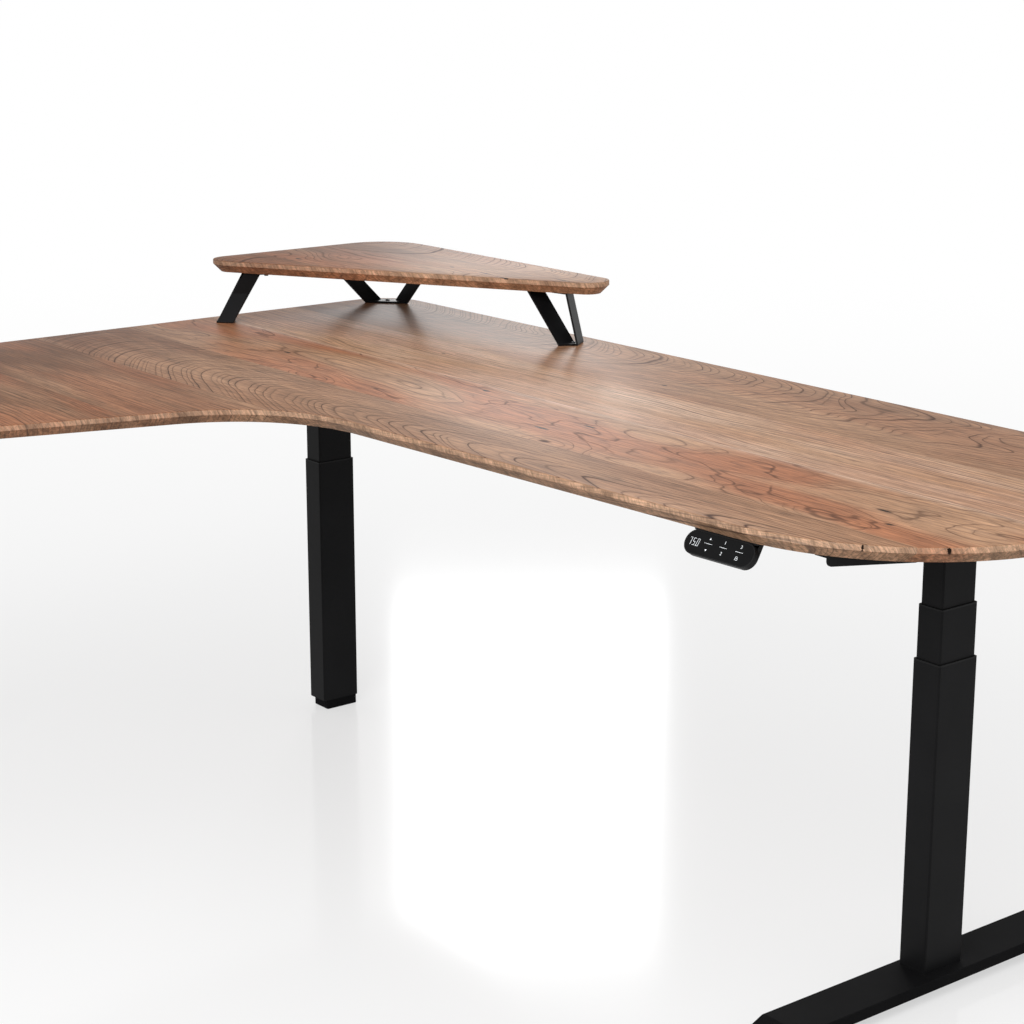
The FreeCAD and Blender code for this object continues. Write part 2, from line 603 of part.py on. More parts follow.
right_start = CORNER_LEG_X + TRAY_FRONT
right_span = RIGHT_LEG_X - SIDE_WIDTH / 2 - right_start
nodes["right_rail_front"] = rail(right_span, right_start, -LEG_BACK - RAIL_OFFSET, 0)
nodes["right_rail_back"] = rail(right_span, right_start, -LEG_BACK + RAIL_OFFSET, 0)
left_start = -LEG_BACK - TRAY_FRONT
left_span = left_start - (LEFT_LEG_Y + SIDE_WIDTH / 2)
nodes["left_rail_inner"] = rail(left_span, LEFT_LEG_X + RAIL_OFFSET, left_start, -90)
nodes["left_rail_outer"] = rail(left_span, LEFT_LEG_X - RAIL_OFFSET, left_start, -90)

# Hand control, hung from the straight front edge
arris_y = INNER_CORNER.y + (HANDSET_X - INNER_CORNER.x) * math.tan(math.radians(FRONT_TAPER))
arris_y += BOARD_BEVEL / math.cos(math.radians(FRONT_TAPER))


def handset_place(shape):
    shape = shape.copy()
    shape.rotate(V(0, 0, 0), V(0, 0, 1), FRONT_TAPER)
    shape.translate(V(HANDSET_X, arris_y, UNDER))
    return shape


def pill(length, width, start, depth):
    """Slab with half-round ends, its face looking along local +Z."""
    end_r = width / 2 - 0.01
    hx, hy = length / 2, width / 2
    corners = [V(-hx, -hy, 0), V(hx, -hy, 0), V(hx, hy, 0), V(-hx, hy, 0)]
    return Part.Face(rounded_outline(corners, [end_r] * 4, start)).extrude(V(0, 0, depth))


def face_pill(length, width, depth, start):
    """Pill-ended housing with its back rim chamfered."""
    slab = pill(length, width, start, depth)
    rim = [e for e in slab.Edges if e.BoundBox.ZMax < start + 0.01]
    return slab.makeChamfer(min(3.0, depth / 2), rim)


def tilt_face(shape):
    """Stand the slab up, lean it back and hang it just under the board."""
    shape = shape.copy()
    shape.rotate(V(0, 0, 0), V(1, 0, 0), 90 - HANDSET_TILT)
    down = HANDSET_FACE / 2 * math.cos(math.radians(HANDSET_TILT))
    out = HANDSET_FACE / 2 * math.sin(math.radians(HANDSET_TILT))
    shape.translate(V(0, -out, -HANDSET_DROP - down))
    return shape


housing = face_pill(HANDSET_LENGTH, HANDSET_FACE, HANDSET_BODY, -HANDSET_BODY)
rim = 2 * HANDSET_RIM
recess = pill(HANDSET_LENGTH - rim, HANDSET_FACE - rim, -HANDSET_PANEL, HANDSET_PANEL + 1)
housing = tilt_face(housing.cut(recess))
rim += 4 * SEAT_GAP
panel = tilt_face(pill(HANDSET_LENGTH - rim, HANDSET_FACE - rim, -HANDSET_PANEL, HANDSET_PANEL))

# Mounting plate screwed under the board, with a web down to the back of the housing
plate = block(-MOUNT_WIDE / 2, MOUNT_WIDE / 2, 1, 1 + MOUNT_DEEP, -MOUNT_PLATE, 0)
uprights = [e for e in plate.Edges if abs(e.Length - MOUNT_PLATE) < 0.01]
plate = plate.makeFillet(MOUNT_R, uprights)
web_profile = [V(0, 24, -MOUNT_PLATE), V(0, 2, -MOUNT_PLATE), V(0, 2, -24), V(0, 12, -24)]
web_wide = MOUNT_WIDE - 2 * MOUNT_R
web = prism([p + V(-web_wide / 2, 0, 0) for p in web_profile], V(web_wide, 0, 0))
front_gap = tilt_face(block(-200, 200, -60, 60, -HANDSET_BODY - SEAT_GAP, 200))
slack = 4 * SEAT_GAP
pocket = tilt_face(pill(HANDSET_LENGTH + slack, HANDSET_FACE + slack, -HANDSET_BODY - SEAT_GAP, 60))
mount = plate.cut(pocket).fuse(web.cut(front_gap))
mount = max(mount.Solids, key=lambda s: s.Volume)
handset_screws = []
mount_spots = [(-MOUNT_WIDE / 2 + 14, MOUNT_DEEP - 12), (MOUNT_WIDE / 2 - 14, MOUNT_DEEP - 12)]
turn = math.radians(FRONT_TAPER)
for sx, sy in mount_spots:
    mount = mount.cut(peg(sx, sy, -MOUNT_PLATE, 0, SCREW_R + HOLE_GAP))
    wx = HANDSET_X + sx * math.cos(turn) - sy * math.sin(turn)
    wy = arris_y + sx * math.sin(turn) + sy * math.cos(turn)
    handset_screws.append(wood_screw(wx, wy, UNDER - MOUNT_PLATE, desk_holes, skip=MOUNT_PLATE))
nodes["handset_mount"] = handset_place(mount.removeSplitter())
nodes["handset_housing"] = handset_place(housing)
nodes["handset_panel"] = handset_place(panel)

# Control box with two ears and a power inlet
box_y = -BOX_BACK
box_low = UNDER - BOX_HIGH


def box_body(inset, top):
    """The box shrunk all round by inset, up to a given top."""
    hx, hy = BOX_LENGTH / 2 - inset, BOX_WIDTH / 2 - inset
    return block(BOX_X - hx, BOX_X + hx, box_y - hy, box_y + hy, box_low + inset, top)


shell = box_body(0, UNDER)
shell = shell.makeFillet(BOX_R, [e for e in shell.Edges if e.BoundBox.ZMin < UNDER - 0.1])
shell = shell.cut(box_body(BOX_WALL, UNDER - BOX_WALL))
for side in (-1, 1):
    ear_x = BOX_X + side * (BOX_LENGTH / 2 + EAR_REACH / 2)
    ear = block(ear_x - EAR_REACH / 2 - BOX_WALL, ear_x + EAR_REACH / 2 + BOX_WALL,
                box_y - EAR_WIDE / 2, box_y + EAR_WIDE / 2, UNDER - EAR_PLATE, UNDER)
    shell = shell.fuse(ear.cut(peg(ear_x, box_y, UNDER - EAR_PLATE, UNDER, SCREW_R + HOLE_GAP)))
    top_screws.append(wood_screw(ear_x, box_y, UNDER - EAR_PLATE, desk_holes, skip=EAR_PLATE))
inlet_x = BOX_X - INLET_SHIFT
back_y = box_y + BOX_WIDTH / 2
inlet_z = UNDER - BOX_HIGH / 2


def inlet_body(inset, y0, y1):
    """Block the size of the inlet opening, shrunk by inset, between two depths."""
    hx, hz = INLET_WIDE / 2 - inset, INLET_HIGH / 2 - inset
    return block(inlet_x - hx, inlet_x + hx, y0, y1, inlet_z - hz, inlet_z + hz)


shell = shell.cut(inlet_body(0, back_y - 2 * BOX_WALL, back_y + 1))
insert = inlet_body(SEAT_GAP, back_y - INLET_DEEP, back_y + INLET_PROUD)
insert = insert.cut(inlet_body(INLET_WALL, back_y - INLET_DEEP + INLET_WALL, back_y + 2))
for pin in (-INLET_PITCH, 0, INLET_PITCH):
    blade_x = inlet_x + pin
    blade = block(blade_x - 1, blade_x + 1, back_y - INLET_DEEP + 1, back_y - 1, inlet_z - 2, inlet_z + 2)
    insert = insert.fuse(blade)
nodes["control_box"] = shell.removeSplitter()
nodes["control_inlet"] = insert.removeSplitter()

for hole in desk_holes:
    desktop = desktop.cut(hole)
for hole in shelf_holes:
    shelf_board = shelf_board.cut(hole)
nodes["desktop"] = desktop
nodes["shelf_board"] = shelf_board
nodes["top_screws"] = Part.Compound(top_screws)
nodes["shelf_screws"] = Part.Compound(shelf_screws)
nodes["shelf_foot_screws"] = Part.Compound(foot_screws)
nodes["column_bolts"] = Part.Compound(column_bolts)
nodes["handset_screws"] = Part.Compound(handset_screws)

# Shared frame: middle of the plan box, floor at zero
shift = V(-DESK_LENGTH / 2, WING_LENGTH / 2, 0)
os.makedirs("parts", exist_ok=True)
for name, shape in nodes.items():
    shape = shape.copy()
    shape.translate(shift)
    shape.exportStep(os.path.join("parts", name + ".step"))
    print(name, len(shape.Solids), shape.isValid(), round(shape.Volume / 1000, 1))
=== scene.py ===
"""Looks of the L-shaped standing desk: timber top and corner shelf on three telescopic steel columns."""
import json
import math

import bmesh
import bpy
from bpy.props import FloatProperty, FloatVectorProperty, PointerProperty
from mathutils import Matrix, Vector


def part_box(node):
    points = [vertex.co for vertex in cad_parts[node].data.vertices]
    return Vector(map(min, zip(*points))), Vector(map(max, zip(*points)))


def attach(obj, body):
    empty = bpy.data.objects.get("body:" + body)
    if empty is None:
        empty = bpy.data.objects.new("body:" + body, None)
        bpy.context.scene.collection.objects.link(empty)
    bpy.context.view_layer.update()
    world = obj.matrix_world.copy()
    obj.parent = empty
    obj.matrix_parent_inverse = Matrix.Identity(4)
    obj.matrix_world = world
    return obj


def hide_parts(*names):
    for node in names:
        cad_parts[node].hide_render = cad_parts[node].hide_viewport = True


bl_info = {
    "name": "L-shaped standing desk",
    "version": (1, 0, 0),
    "blender": (4, 5, 0),
    "location": "3D View > Sidebar > Desk",
    "description": "Builds the timber boards, columns, shelf brackets and hand control of a standing desk",
    "category": "Add Mesh",
}

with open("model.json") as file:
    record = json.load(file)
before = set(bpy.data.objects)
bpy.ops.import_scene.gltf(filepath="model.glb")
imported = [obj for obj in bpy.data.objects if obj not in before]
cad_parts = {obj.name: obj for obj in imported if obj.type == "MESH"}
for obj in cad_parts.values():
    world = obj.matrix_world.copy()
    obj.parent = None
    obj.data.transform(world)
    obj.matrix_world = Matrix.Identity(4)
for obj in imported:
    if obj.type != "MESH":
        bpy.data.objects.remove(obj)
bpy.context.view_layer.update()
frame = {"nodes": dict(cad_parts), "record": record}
MM = 0.001
DESK_LOW, DESK_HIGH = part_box("desktop")
SHELF_LOW, SHELF_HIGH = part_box("shelf_board")
PANEL_LOW, PANEL_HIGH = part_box("handset_panel")
# The sharp back corner of the desktop in plan, from which boards and grain are measured
BACK_CORNER = Vector((DESK_LOW.x, DESK_HIGH.y, 0))


def linear(hex_colour):
    """sRGB hex to a linear colour."""
    parts = [int(hex_colour[i:i + 2], 16) / 255 for i in (1, 3, 5)]
    return tuple(c / 12.92 if c <= 0.04045 else ((c + 0.055) / 1.055) ** 2.4 for c in parts) + (1.0,)


def colour(name, description, hex_colour):
    """Colour that a user may change."""
    return FloatVectorProperty(name=name, description=description, subtype="COLOR", size=4, min=0, max=1,
                               default=linear(hex_colour))


def length(name, description, default):
    """Size in metres that a user may change."""
    return FloatProperty(name=name, description=description, default=default, min=0, unit="LENGTH")


class DeskSizes(bpy.types.PropertyGroup):
    bevel: length("Board bevel", "Slope under the edge of both boards", 0.016)
    arris: length("Board arris", "Rounding of the upper edge of both boards", 0.0015)
    back_radius: length("Back corners", "Radius of the square corners of the desktop", 0.100)
    right_radius: length("Right end", "Radius of the round right end", 0.348)
    left_radius: length("Left end", "Radius of the wing's front corner", 0.210)
    inner_radius: length("Inner corner", "Radius of the concave inner corner", 0.256)
    inner_x: length("Inner corner along", "Sharp inner corner, from the back corner to the right", 0.838)
    inner_y: length("Inner corner deep", "Sharp inner corner, from the back edge", 0.8265)
    front_taper: FloatProperty(name="Front taper", description="Turn of the front edge from the back edge",
                               default=math.radians(2.6), subtype="ANGLE")
    wing_taper: FloatProperty(name="Wing taper", description="How far the wing's inner edge leans",
                              default=math.radians(15.92), subtype="ANGLE")
    shelf_back: length("Shelf back corner", "Radius of the shelf's square corner", 0.108)
    shelf_tip: length("Shelf tips", "Radius of the two pointed shelf corners", 0.044)
    shelf_deep: length("Shelf depth", "Sharp back corner of the shelf to its sharp left tip", 0.509)
    shelf_slope: FloatProperty(name="Shelf slope", description="Turn of the shelf's front from its back edge",
                               default=math.radians(30), subtype="ANGLE")
    readout: length("Readout", "Height of the figures on the hand control", 0.0105)
    face_tilt: FloatProperty(name="Face tilt", description="How far the hand control's face leans back",
                             default=math.radians(33), subtype="ANGLE")
    face_thick: length("Face", "Thickness of the hand control's acrylic face", 0.0016)
    screw_head: length("Screw head height", "Height of the wood screws' heads", 0.0025)
    screw_radius: length("Screw head", "Radius of the wood screws' heads", 0.0045)
    pitch: length("Thread pitch", "Rise of the lift screws in one turn", 0.008)


class DeskColours(bpy.types.PropertyGroup):
    heartwood: colour("Heartwood", "Main colour of the timber", "#b28a6b")
    deep_wood: colour("Deep heartwood", "Darker, greyer planks", "#6e4a31")
    red_wood: colour("Red heartwood", "Warm reddish planks", "#9f6443")
    late_wood: colour("Latewood", "Dark line that ends each growth ring", "#41261a")
    sapwood: colour("Sapwood", "Pale planks and the stripe beside the glue seam", "#d2b7a3")
    end_grain: colour("End grain", "Pale dusty tone of the sawn edges", "#b39a86")
    check: colour("Checks", "Dark of open checks and small knots", "#1c120c")
    steel: colour("Powder coat", "Matt black coat of the steel", "#161617")
    plastic: colour("Plastic", "Black moulded plastic", "#0e0e0f")
    rubber: colour("Rubber", "Leveller pads", "#121212")
    zinc: colour("Zinc", "Bright zinc plating of screws", "#b9bcc0")
    black_zinc: colour("Black zinc", "Dark passivated zinc of the fixings", "#3a3a3d")
    screw: colour("Screw steel", "Bright oiled steel of the lift screws", "#b4b3ae")
    nut: colour("Nut", "Off-white acetal of the lift nuts", "#dcd8cc")
    casing: colour("Casing", "Dark grey of motor and drive box", "#151517")
    readout: colour("Readout", "Lit figures of the hand control", "#e8ecef")
    floor: colour("Floor", "Studio floor", "#f3f3f3")


# Settings that many nodes share
SMOOTH = {"interpolation_type": "SMOOTHSTEP"}
BLEND = {"data_type": "RGBA"}
TINT = {"data_type": "RGBA", "blend_type": "MULTIPLY"}


def feed(tree, made, **links):
    """Give a node's inputs, by name or by index as _0, _1, a value or the output of another node.

    Of a MapRange, _1 and _2 are the range that it takes in, _3 and _4 the range that it gives out.
    """
    for key, value in links.items():
        if key[0] == "_":
            socket = made.inputs[int(key[1:])]
        else:
            socket = next(s for s in made.inputs if s.enabled and s.name == key.replace("_", " "))
        if isinstance(value, bpy.types.Node):
            value = next(s for s in value.outputs if s.enabled)
        if isinstance(value, bpy.types.NodeSocket):
            tree.links.new(value, socket)
        else:
            socket.default_value = value


def node(tree, kind, settings=None, **links):
    """Add a shader node; settings are its attributes, or only its operation, and links feed its inputs."""
    made = tree.nodes.new("ShaderNode" + kind)
    if isinstance(settings, str):
        settings = {"operation": settings}
    for key, value in (settings or {}).items():
        setattr(made, key, value)
    feed(tree, made, **links)
    return made


def blank_material(name):
    """New node material with only a Principled shader and its output."""
    material = bpy.data.materials.new(name)
    material.use_nodes = True
    tree = material.node_tree
    tree.nodes.clear()
    shader = node(tree, "BsdfPrincipled")
    node(tree, "OutputMaterial", Surface=shader)
    return material, tree, shader


def dress(names, material):
    """Give CAD nodes this finish in place of their own."""
    for name in names:
        mesh = frame["nodes"][name].data
        mesh.materials.clear()
        mesh.materials.append(material)


def nodes_in(*slots):
    """Names of the CAD nodes that take their finish from these material slots."""
    return [part["node"] for part in frame["record"]["subparts"] if part["material_slot"] in slots]


# Planks glued up into the desktop, from the back edge: where each starts in mm, where its tree's pith lies,
# how deep under the face the pith starts, how fast it sinks (below nought it rises), how wide its rings are,
# how many rings the grain swirls by, how deep its colour is (below nought it is pale), how red it is, and how
# strong its dark lines are
DESK_PLANKS = (
    (0, 85, 120, 0.33, 3.2, 7.0, 0.38, 0.25, 0.85),
    (255, -60, 60, 0.03, 9.0, 5.0, -0.20, 0.30, 0.80),
    (452, 580, 70, 0.06, 15.0, 11.0, 0.15, 0.85, 0.60),
    (667, 770, 340, -0.32, 4.5, 5.0, 0.45, 0.10, 0.95),
    (868, 1420, 70, 0.04, 7.5, 5.0, 0.70, 0.40, 0.90),
    (1085, 1560, 80, 0.04, 8.0, 6.0, 0.72, 0.60, 0.80),
    (1300, 1010, 60, 0.03, 8.0, 5.0, 0.55, 0.25, 0.70),
    (1510, 1625, 320, -0.30, 4.0, 6.0, 0.45, 0.55, 0.85),
)
SHELF_PLANKS = (
    (0, 60, 110, 0.30, 3.4, 6.0, 0.45, 0.30, 0.85),
    (170, 420, 60, 0.06, 13.0, 10.0, 0.43, 0.60, 0.65),
    (345, 400, 240, -0.30, 4.0, 6.0, 0.50, 0.35, 0.90),
)
# Open checks in the edge and small dark knots in the face of the desktop: place in mm from the back corner
# and from the face, then half lengths
DESK_MARKS = (
    (2089, 715, -5, 2.4, 2.4, 6.5), (2171, 635, -5, 3.4, 3.4, 6.5),
    (1128, 207, 0, 9, 4, 5), (635, 332, 0, 10, 3, 5), (970, 487, 0, 10, 5, 5), (1310, 532, 0, 16, 4, 5),
    (1268, 600, 0, 22, 4, 5), (1985, 560, 0, 20, 4, 5), (2040, 610, 0, 12, 4, 5), (440, 560, 0, 14, 5, 5),
)
SHELF_MARKS = (
    (420, 150, 0, 9, 4, 5), (605, 158, 0, 46, 3.5, 2), (532, 150, 0, 28, 3, 2), (690, 86, 0, 30, 3, 2),
    (130, 330, 0, 12, 5, 5),
)


def timber(name, planks, marks, seam, top, look, oil):
    """Oiled acacia, glued up from planks and planed.

    Growth rings show as nested arcs and streaks that end in thin dark lines, knots as closed loops, fibres as
    fine streaks along the grain; each plank differs in tone. The oil lies as a thin soft coat over the pores.
    The seam is where the pale stripe starts, in mm from the back edge, top the height of the face, and oil
    the weight of the coat.
    """
    material, tree, shader = blank_material(name)
    # Millimetres from the back corner, x along the grain and y towards the user
    plan = node(tree, "Mapping", Vector=node(tree, "TexCoord").outputs["Object"], Scale=(1000, -1000, 1000),
                Location=(-BACK_CORNER.x * 1000, BACK_CORNER.y * 1000, -top * 1000))
    along, across, up = node(tree, "SeparateXYZ", Vector=plan).outputs

    # Which plank a point lies in, and that plank's own grain
    reach = 1800.0
    share = node(tree, "Math", "DIVIDE", _0=across, _1=reach)
    # A colour ramp holds 0 to 1, so each value is shifted to start at nought and divided by its most
    most = (None, 2500, 500, 1.0, 20, 20, 1.5, 1, 1)
    shift = (None, 500, 0, 0.5, 0, 0, 0.5, 0, 0)
    grain = []
    for columns in ((1, 2, 3, 4), (5, 6, 7, 8)):
        ramp = node(tree, "ValToRGB", Fac=share)
        ramp.color_ramp.interpolation = "CONSTANT"
        for i, plank in enumerate(planks):
            stops = ramp.color_ramp.elements
            stop = stops[i] if i < 2 else stops.new(1.0)
            stop.position = plank[0] / reach
            stop.color = [(plank[c] + shift[c]) / most[c] for c in columns]
        grain.extend(node(tree, "SeparateColor", Color=ramp).outputs)
        grain.append(ramp.outputs["Alpha"])
    pith, depth, sink, ring, swirl, deep, red, strong = grain

    # Distance from the pith, in growth rings
    aside = node(tree, "Math", "MULTIPLY_ADD", _0=pith, _1=-most[1], _2=shift[1])
    aside = node(tree, "Math", "ADD", _0=aside, _1=across)
    # The pith sinks or rises less and less along the plank, so nested arcs open out into long streaks
    sink = node(tree, "Math", "SUBTRACT", _0=sink, _1=shift[3])
    run = 1100.0
    fall = node(tree, "Math", "MULTIPLY", _0=along, _1=-1 / run)
    fall = node(tree, "Math", "EXPONENT", _0=fall)
    fall = node(tree, "Math", "MULTIPLY_ADD", _0=fall, _1=-run, _2=run)
    sunk = node(tree, "Math", "MULTIPLY_ADD", _0=sink, _1=fall, _2=up)
    below = node(tree, "Math", "MULTIPLY_ADD", _0=depth, _1=most[2], _2=sunk)
    spoke = node(tree, "CombineXYZ", X=aside, Y=below)
    radius = node(tree, "VectorMath", "LENGTH", _0=spoke).outputs["Value"]
    width = node(tree, "Math", "MULTIPLY", _0=ring, _1=most[4])
    rings = node(tree, "Math", "DIVIDE", _0=radius, _1=width)

    # Slow swirls, small waviness and knots bend the rings; each plank has its own, moved far aside
    step = node(tree, "Math", "MULTIPLY", _0=pith, _1=9000.0)
    apart = node(tree, "CombineXYZ", X=along, Y=across, Z=step)
    slow_place = node(tree, "Mapping", Vector=apart, Scale=(1 / 380, 1 / 100, 1 / 90))
    slow = node(tree, "TexNoise", Vector=slow_place, Scale=1.0, Detail=1.0, Roughness=0.4)
    bend = node(tree, "Math", "SUBTRACT", _0=slow, _1=0.5)
    bend = node(tree, "Math", "MULTIPLY", _0=bend, _1=swirl)
    rings = node(tree, "Math", "MULTIPLY_ADD", _0=bend, _1=most[5], _2=rings)
    fine_place = node(tree, "Mapping", Vector=apart, Scale=(1 / 160, 1 / 26, 1 / 40))
    fine = node(tree, "TexNoise", Vector=fine_place, Scale=1.0, Detail=2.0, Roughness=0.5)
    rings = node(tree, "Math", "MULTIPLY_ADD", _0=fine, _1=0.30, _2=rings)
    cloud_place = node(tree, "Mapping", Vector=apart, Scale=(1 / 330, 1 / 60, 1 / 90))
    cloud = node(tree, "TexNoise", Vector=cloud_place, Scale=1.0, Detail=2.0)
    sway = node(tree, "Math", "SUBTRACT", _0=cloud, _1=0.5)
    sway = node(tree, "Math", "MULTIPLY", _0=sway, _1=swirl)
    rings = node(tree, "Math", "MULTIPLY_ADD", _0=sway, _1=4.0, _2=rings)
    knot_place = node(tree, "Mapping", Vector=apart, Scale=(1 / 330, 1 / 170, 1 / 90))
    knot = node(tree, "TexVoronoi", Vector=knot_place, Scale=1.0).outputs["Distance"]
    loop = node(tree, "MapRange", SMOOTH, Value=knot, _1=0.42, _2=0.02)
    loop = node(tree, "Math", "MULTIPLY", _0=loop, _1=swirl)
    rings = node(tree, "Math", "MULTIPLY_ADD", _0=loop, _1=7.0, _2=rings)

    # Rings stand closer together in poor years
    year = node(tree, "Math", "MULTIPLY", _0=rings, _1=0.3)
    year_place = node(tree, "CombineXYZ", X=year, Z=step)
    year = node(tree, "TexNoise", Vector=year_place, Scale=1.0, Detail=2.0)
    rings = node(tree, "Math", "MULTIPLY_ADD", _0=year, _1=5.0, _2=rings)

    # A ring darkens slowly and ends in a thin line; some lines are strong and others faint
    phase = node(tree, "Math", "FRACT", _0=rings)
    tone = node(tree, "Math", "PINGPONG", _0=rings, _1=0.5)
    tone = node(tree, "MapRange", SMOOTH, Value=tone, _1=0.40, _2=0.0)
    line = node(tree, "MapRange", SMOOTH, Value=phase, _1=0.80, _2=0.93)
    ending = node(tree, "MapRange", Value=phase, _1=0.94, _2=1.0, _3=1.0, _4=0.0)
    line = node(tree, "Math", "MULTIPLY", _0=line, _1=ending)
    order = node(tree, "Math", "FLOOR", _0=rings)
    faint_x = node(tree, "Math", "MULTIPLY", _0=along, _1=1 / 420)
    faint_y = node(tree, "Math", "MULTIPLY", _0=order, _1=0.73)
    faint_place = node(tree, "CombineXYZ", X=faint_x, Y=faint_y, Z=step)
    faint = node(tree, "TexNoise", Vector=faint_place, Scale=1.0, Detail=1.0)
    faint = node(tree, "MapRange", SMOOTH, Value=faint, _1=0.32, _2=0.58, _3=0.30, _4=1.0)
    line = node(tree, "Math", "MULTIPLY", _0=line, _1=faint)
    line = node(tree, "Math", "MULTIPLY", _0=line, _1=strong)
    # Thin mineral lines that wander across the rings in patches
    vein_place = node(tree, "Mapping", Vector=apart, Scale=(1 / 240, 1 / 75, 1 / 90))
    vein = node(tree, "TexNoise", Vector=vein_place, Scale=1.0, Detail=2.0, Roughness=0.4)
    vein = node(tree, "Math", "SUBTRACT", _0=vein, _1=0.53)
    vein = node(tree, "Math", "ABSOLUTE", _0=vein)
    vein = node(tree, "MapRange", SMOOTH, Value=vein, _1=0.014, _2=0.002)
    patch = node(tree, "MapRange", SMOOTH, Value=slow, _1=0.50, _2=0.62)
    vein = node(tree, "Math", "MULTIPLY", _0=vein, _1=patch)
    lively = node(tree, "MapRange", Value=swirl, _1=0.42, _2=0.55, _3=0.0, _4=0.65)
    vein = node(tree, "Math", "MULTIPLY", _0=vein, _1=lively)
    dark = node(tree, "Math", "MAXIMUM", _0=line, _1=vein)
    heart = node(tree, "MapRange", SMOOTH, Value=knot, _1=0.060, _2=0.015)
    heart = node(tree, "Math", "MULTIPLY", _0=heart, _1=lively)
    dark = node(tree, "Math", {"operation": "MULTIPLY_ADD", "use_clamp": True}, _0=heart, _1=1.5, _2=dark)

    # Fibres are a fifth of a millimetre wide, drawn as streaks 6 mm and less so that they show
    fibre_place = node(tree, "Mapping", Vector=plan, Scale=(1 / 110, 1 / 6.0, 1 / 6))
    fibre = node(tree, "TexNoise", Vector=fibre_place, Scale=1.0, Detail=4.0, Roughness=0.75)
    # Open pores are 0.2 mm wide, drawn 2.5 mm wide as short dark dashes so that they show
    pore_place = node(tree, "Mapping", Vector=plan, Scale=(1 / 42, 1 / 2.5, 1 / 2.5))
    pore = node(tree, "TexNoise", Vector=pore_place, Scale=1.0, Detail=1.0)
    pore = node(tree, "MapRange", SMOOTH, Value=pore, _1=0.58, _2=0.72, _3=0.0, _4=0.5)

    # Colour of the plank, then its clouds, rings, lines and fibres
    clouds = 1.2
    deep = node(tree, "Math", "MULTIPLY_ADD", _0=deep, _1=most[6], _2=-shift[6] - clouds / 2)
    deep = node(tree, "Math", "MULTIPLY_ADD", _0=cloud, _1=clouds, _2=deep)
    # Painted shade: every plank darkens towards its left end, where the top takes less sheen
    painted_left_shade = node(tree, "MapRange", SMOOTH, Value=along, _1=480.0, _2=0.0, _3=0.0, _4=0.5)
    deep = node(tree, "Math", "ADD", _0=deep, _1=painted_left_shade)
    bright = node(tree, "MapRange", Value=deep, _1=0.0, _2=-1.0)
    body = node(tree, "Mix", BLEND, Factor=bright, A=look.heartwood, B=look.sapwood)
    deep = node(tree, "MapRange", Value=deep)
    body = node(tree, "Mix", BLEND, Factor=deep, A=body, B=look.deep_wood)
    red_patch = node(tree, "MapRange", SMOOTH, Value=slow, _1=0.36, _2=0.64)
    red = node(tree, "Math", "MULTIPLY", _0=red_patch, _1=red)
    body = node(tree, "Mix", BLEND, Factor=red, A=body, B=look.red_wood)
    # Pale sapwood stripe along one glue seam
    off_seam = node(tree, "Math", "SUBTRACT", _0=across, _1=seam)
    stripe = node(tree, "MapRange", SMOOTH, Value=off_seam, _1=24.0, _2=2.0, _3=0.0, _4=0.3)
    before = node(tree, "MapRange", Value=off_seam, _1=-1.0, _2=0.5)
    stripe = node(tree, "Math", "MULTIPLY", _0=stripe, _1=before)
    body = node(tree, "Mix", BLEND, Factor=stripe, A=body, B=look.sapwood)
    fade = node(tree, "Math", "MULTIPLY", _0=tone, _1=strong)
    fade = node(tree, "MapRange", Value=fade, _3=1.09, _4=0.88)
    body = node(tree, "Mix", TINT, Factor=1.0, A=body, B=fade)
    body = node(tree, "Mix", BLEND, Factor=dark, A=body, B=look.late_wood)
    body = node(tree, "Mix", BLEND, Factor=pore, A=body, B=look.late_wood)
    shade = node(tree, "MapRange", Value=fibre, _1=0.28, _2=0.72, _3=0.54, _4=1.55)
    body = node(tree, "Mix", TINT, Factor=1.0, A=body, B=shade)

    # Planed edges: fine streaks across the thickness that lean a little, in lighter and darker patches; on
    # the whole they also brighten the edges, a painted light on faces that the lamps light less
    facing = node(tree, "SeparateXYZ", Vector=node(tree, "NewGeometry").outputs["Normal"]).outputs["Z"]
    edge = node(tree, "MapRange", SMOOTH, Value=facing, _1=0.9, _2=0.2)
    # The underside is planed like the face
    planed = node(tree, "MapRange", Value=facing, _1=-0.98, _2=-0.85)
    edge = node(tree, "Math", "MULTIPLY", _0=edge, _1=planed)
    lean = node(tree, "Math", "MULTIPLY", _0=up, _1=0.35)
    edge_x = node(tree, "Math", "ADD", _0=along, _1=lean)
    edge_y = node(tree, "Math", "SUBTRACT", _0=across, _1=lean)
    edge_place = node(tree, "CombineXYZ", X=edge_x, Y=edge_y, Z=up)
    streak_place = node(tree, "Mapping", Vector=edge_place, Scale=(1 / 5, 1 / 5, 1 / 60))
    streaks_and_edge_light = node(tree, "TexNoise", Vector=streak_place, Scale=1.0, Detail=3.0, Roughness=0.7)
    # Painted light: the streaks brighten the edge by about a third on the whole
    streaks_and_edge_light = node(tree, "MapRange", Value=streaks_and_edge_light, _1=0.3, _2=0.7, _3=0.806, _4=1.96)
    split_place = node(tree, "Mapping", Vector=edge_place, Scale=(1 / 45, 1 / 45, 1 / 160))
    split = node(tree, "TexNoise", Vector=split_place, Scale=1.0, Detail=2.0, Roughness=0.7)
    split = node(tree, "MapRange", Value=split, _1=0.34, _2=0.60, _3=0.72, _4=1.20)
    streaks_and_edge_light = node(tree, "Math", "MULTIPLY", _0=streaks_and_edge_light, _1=split)
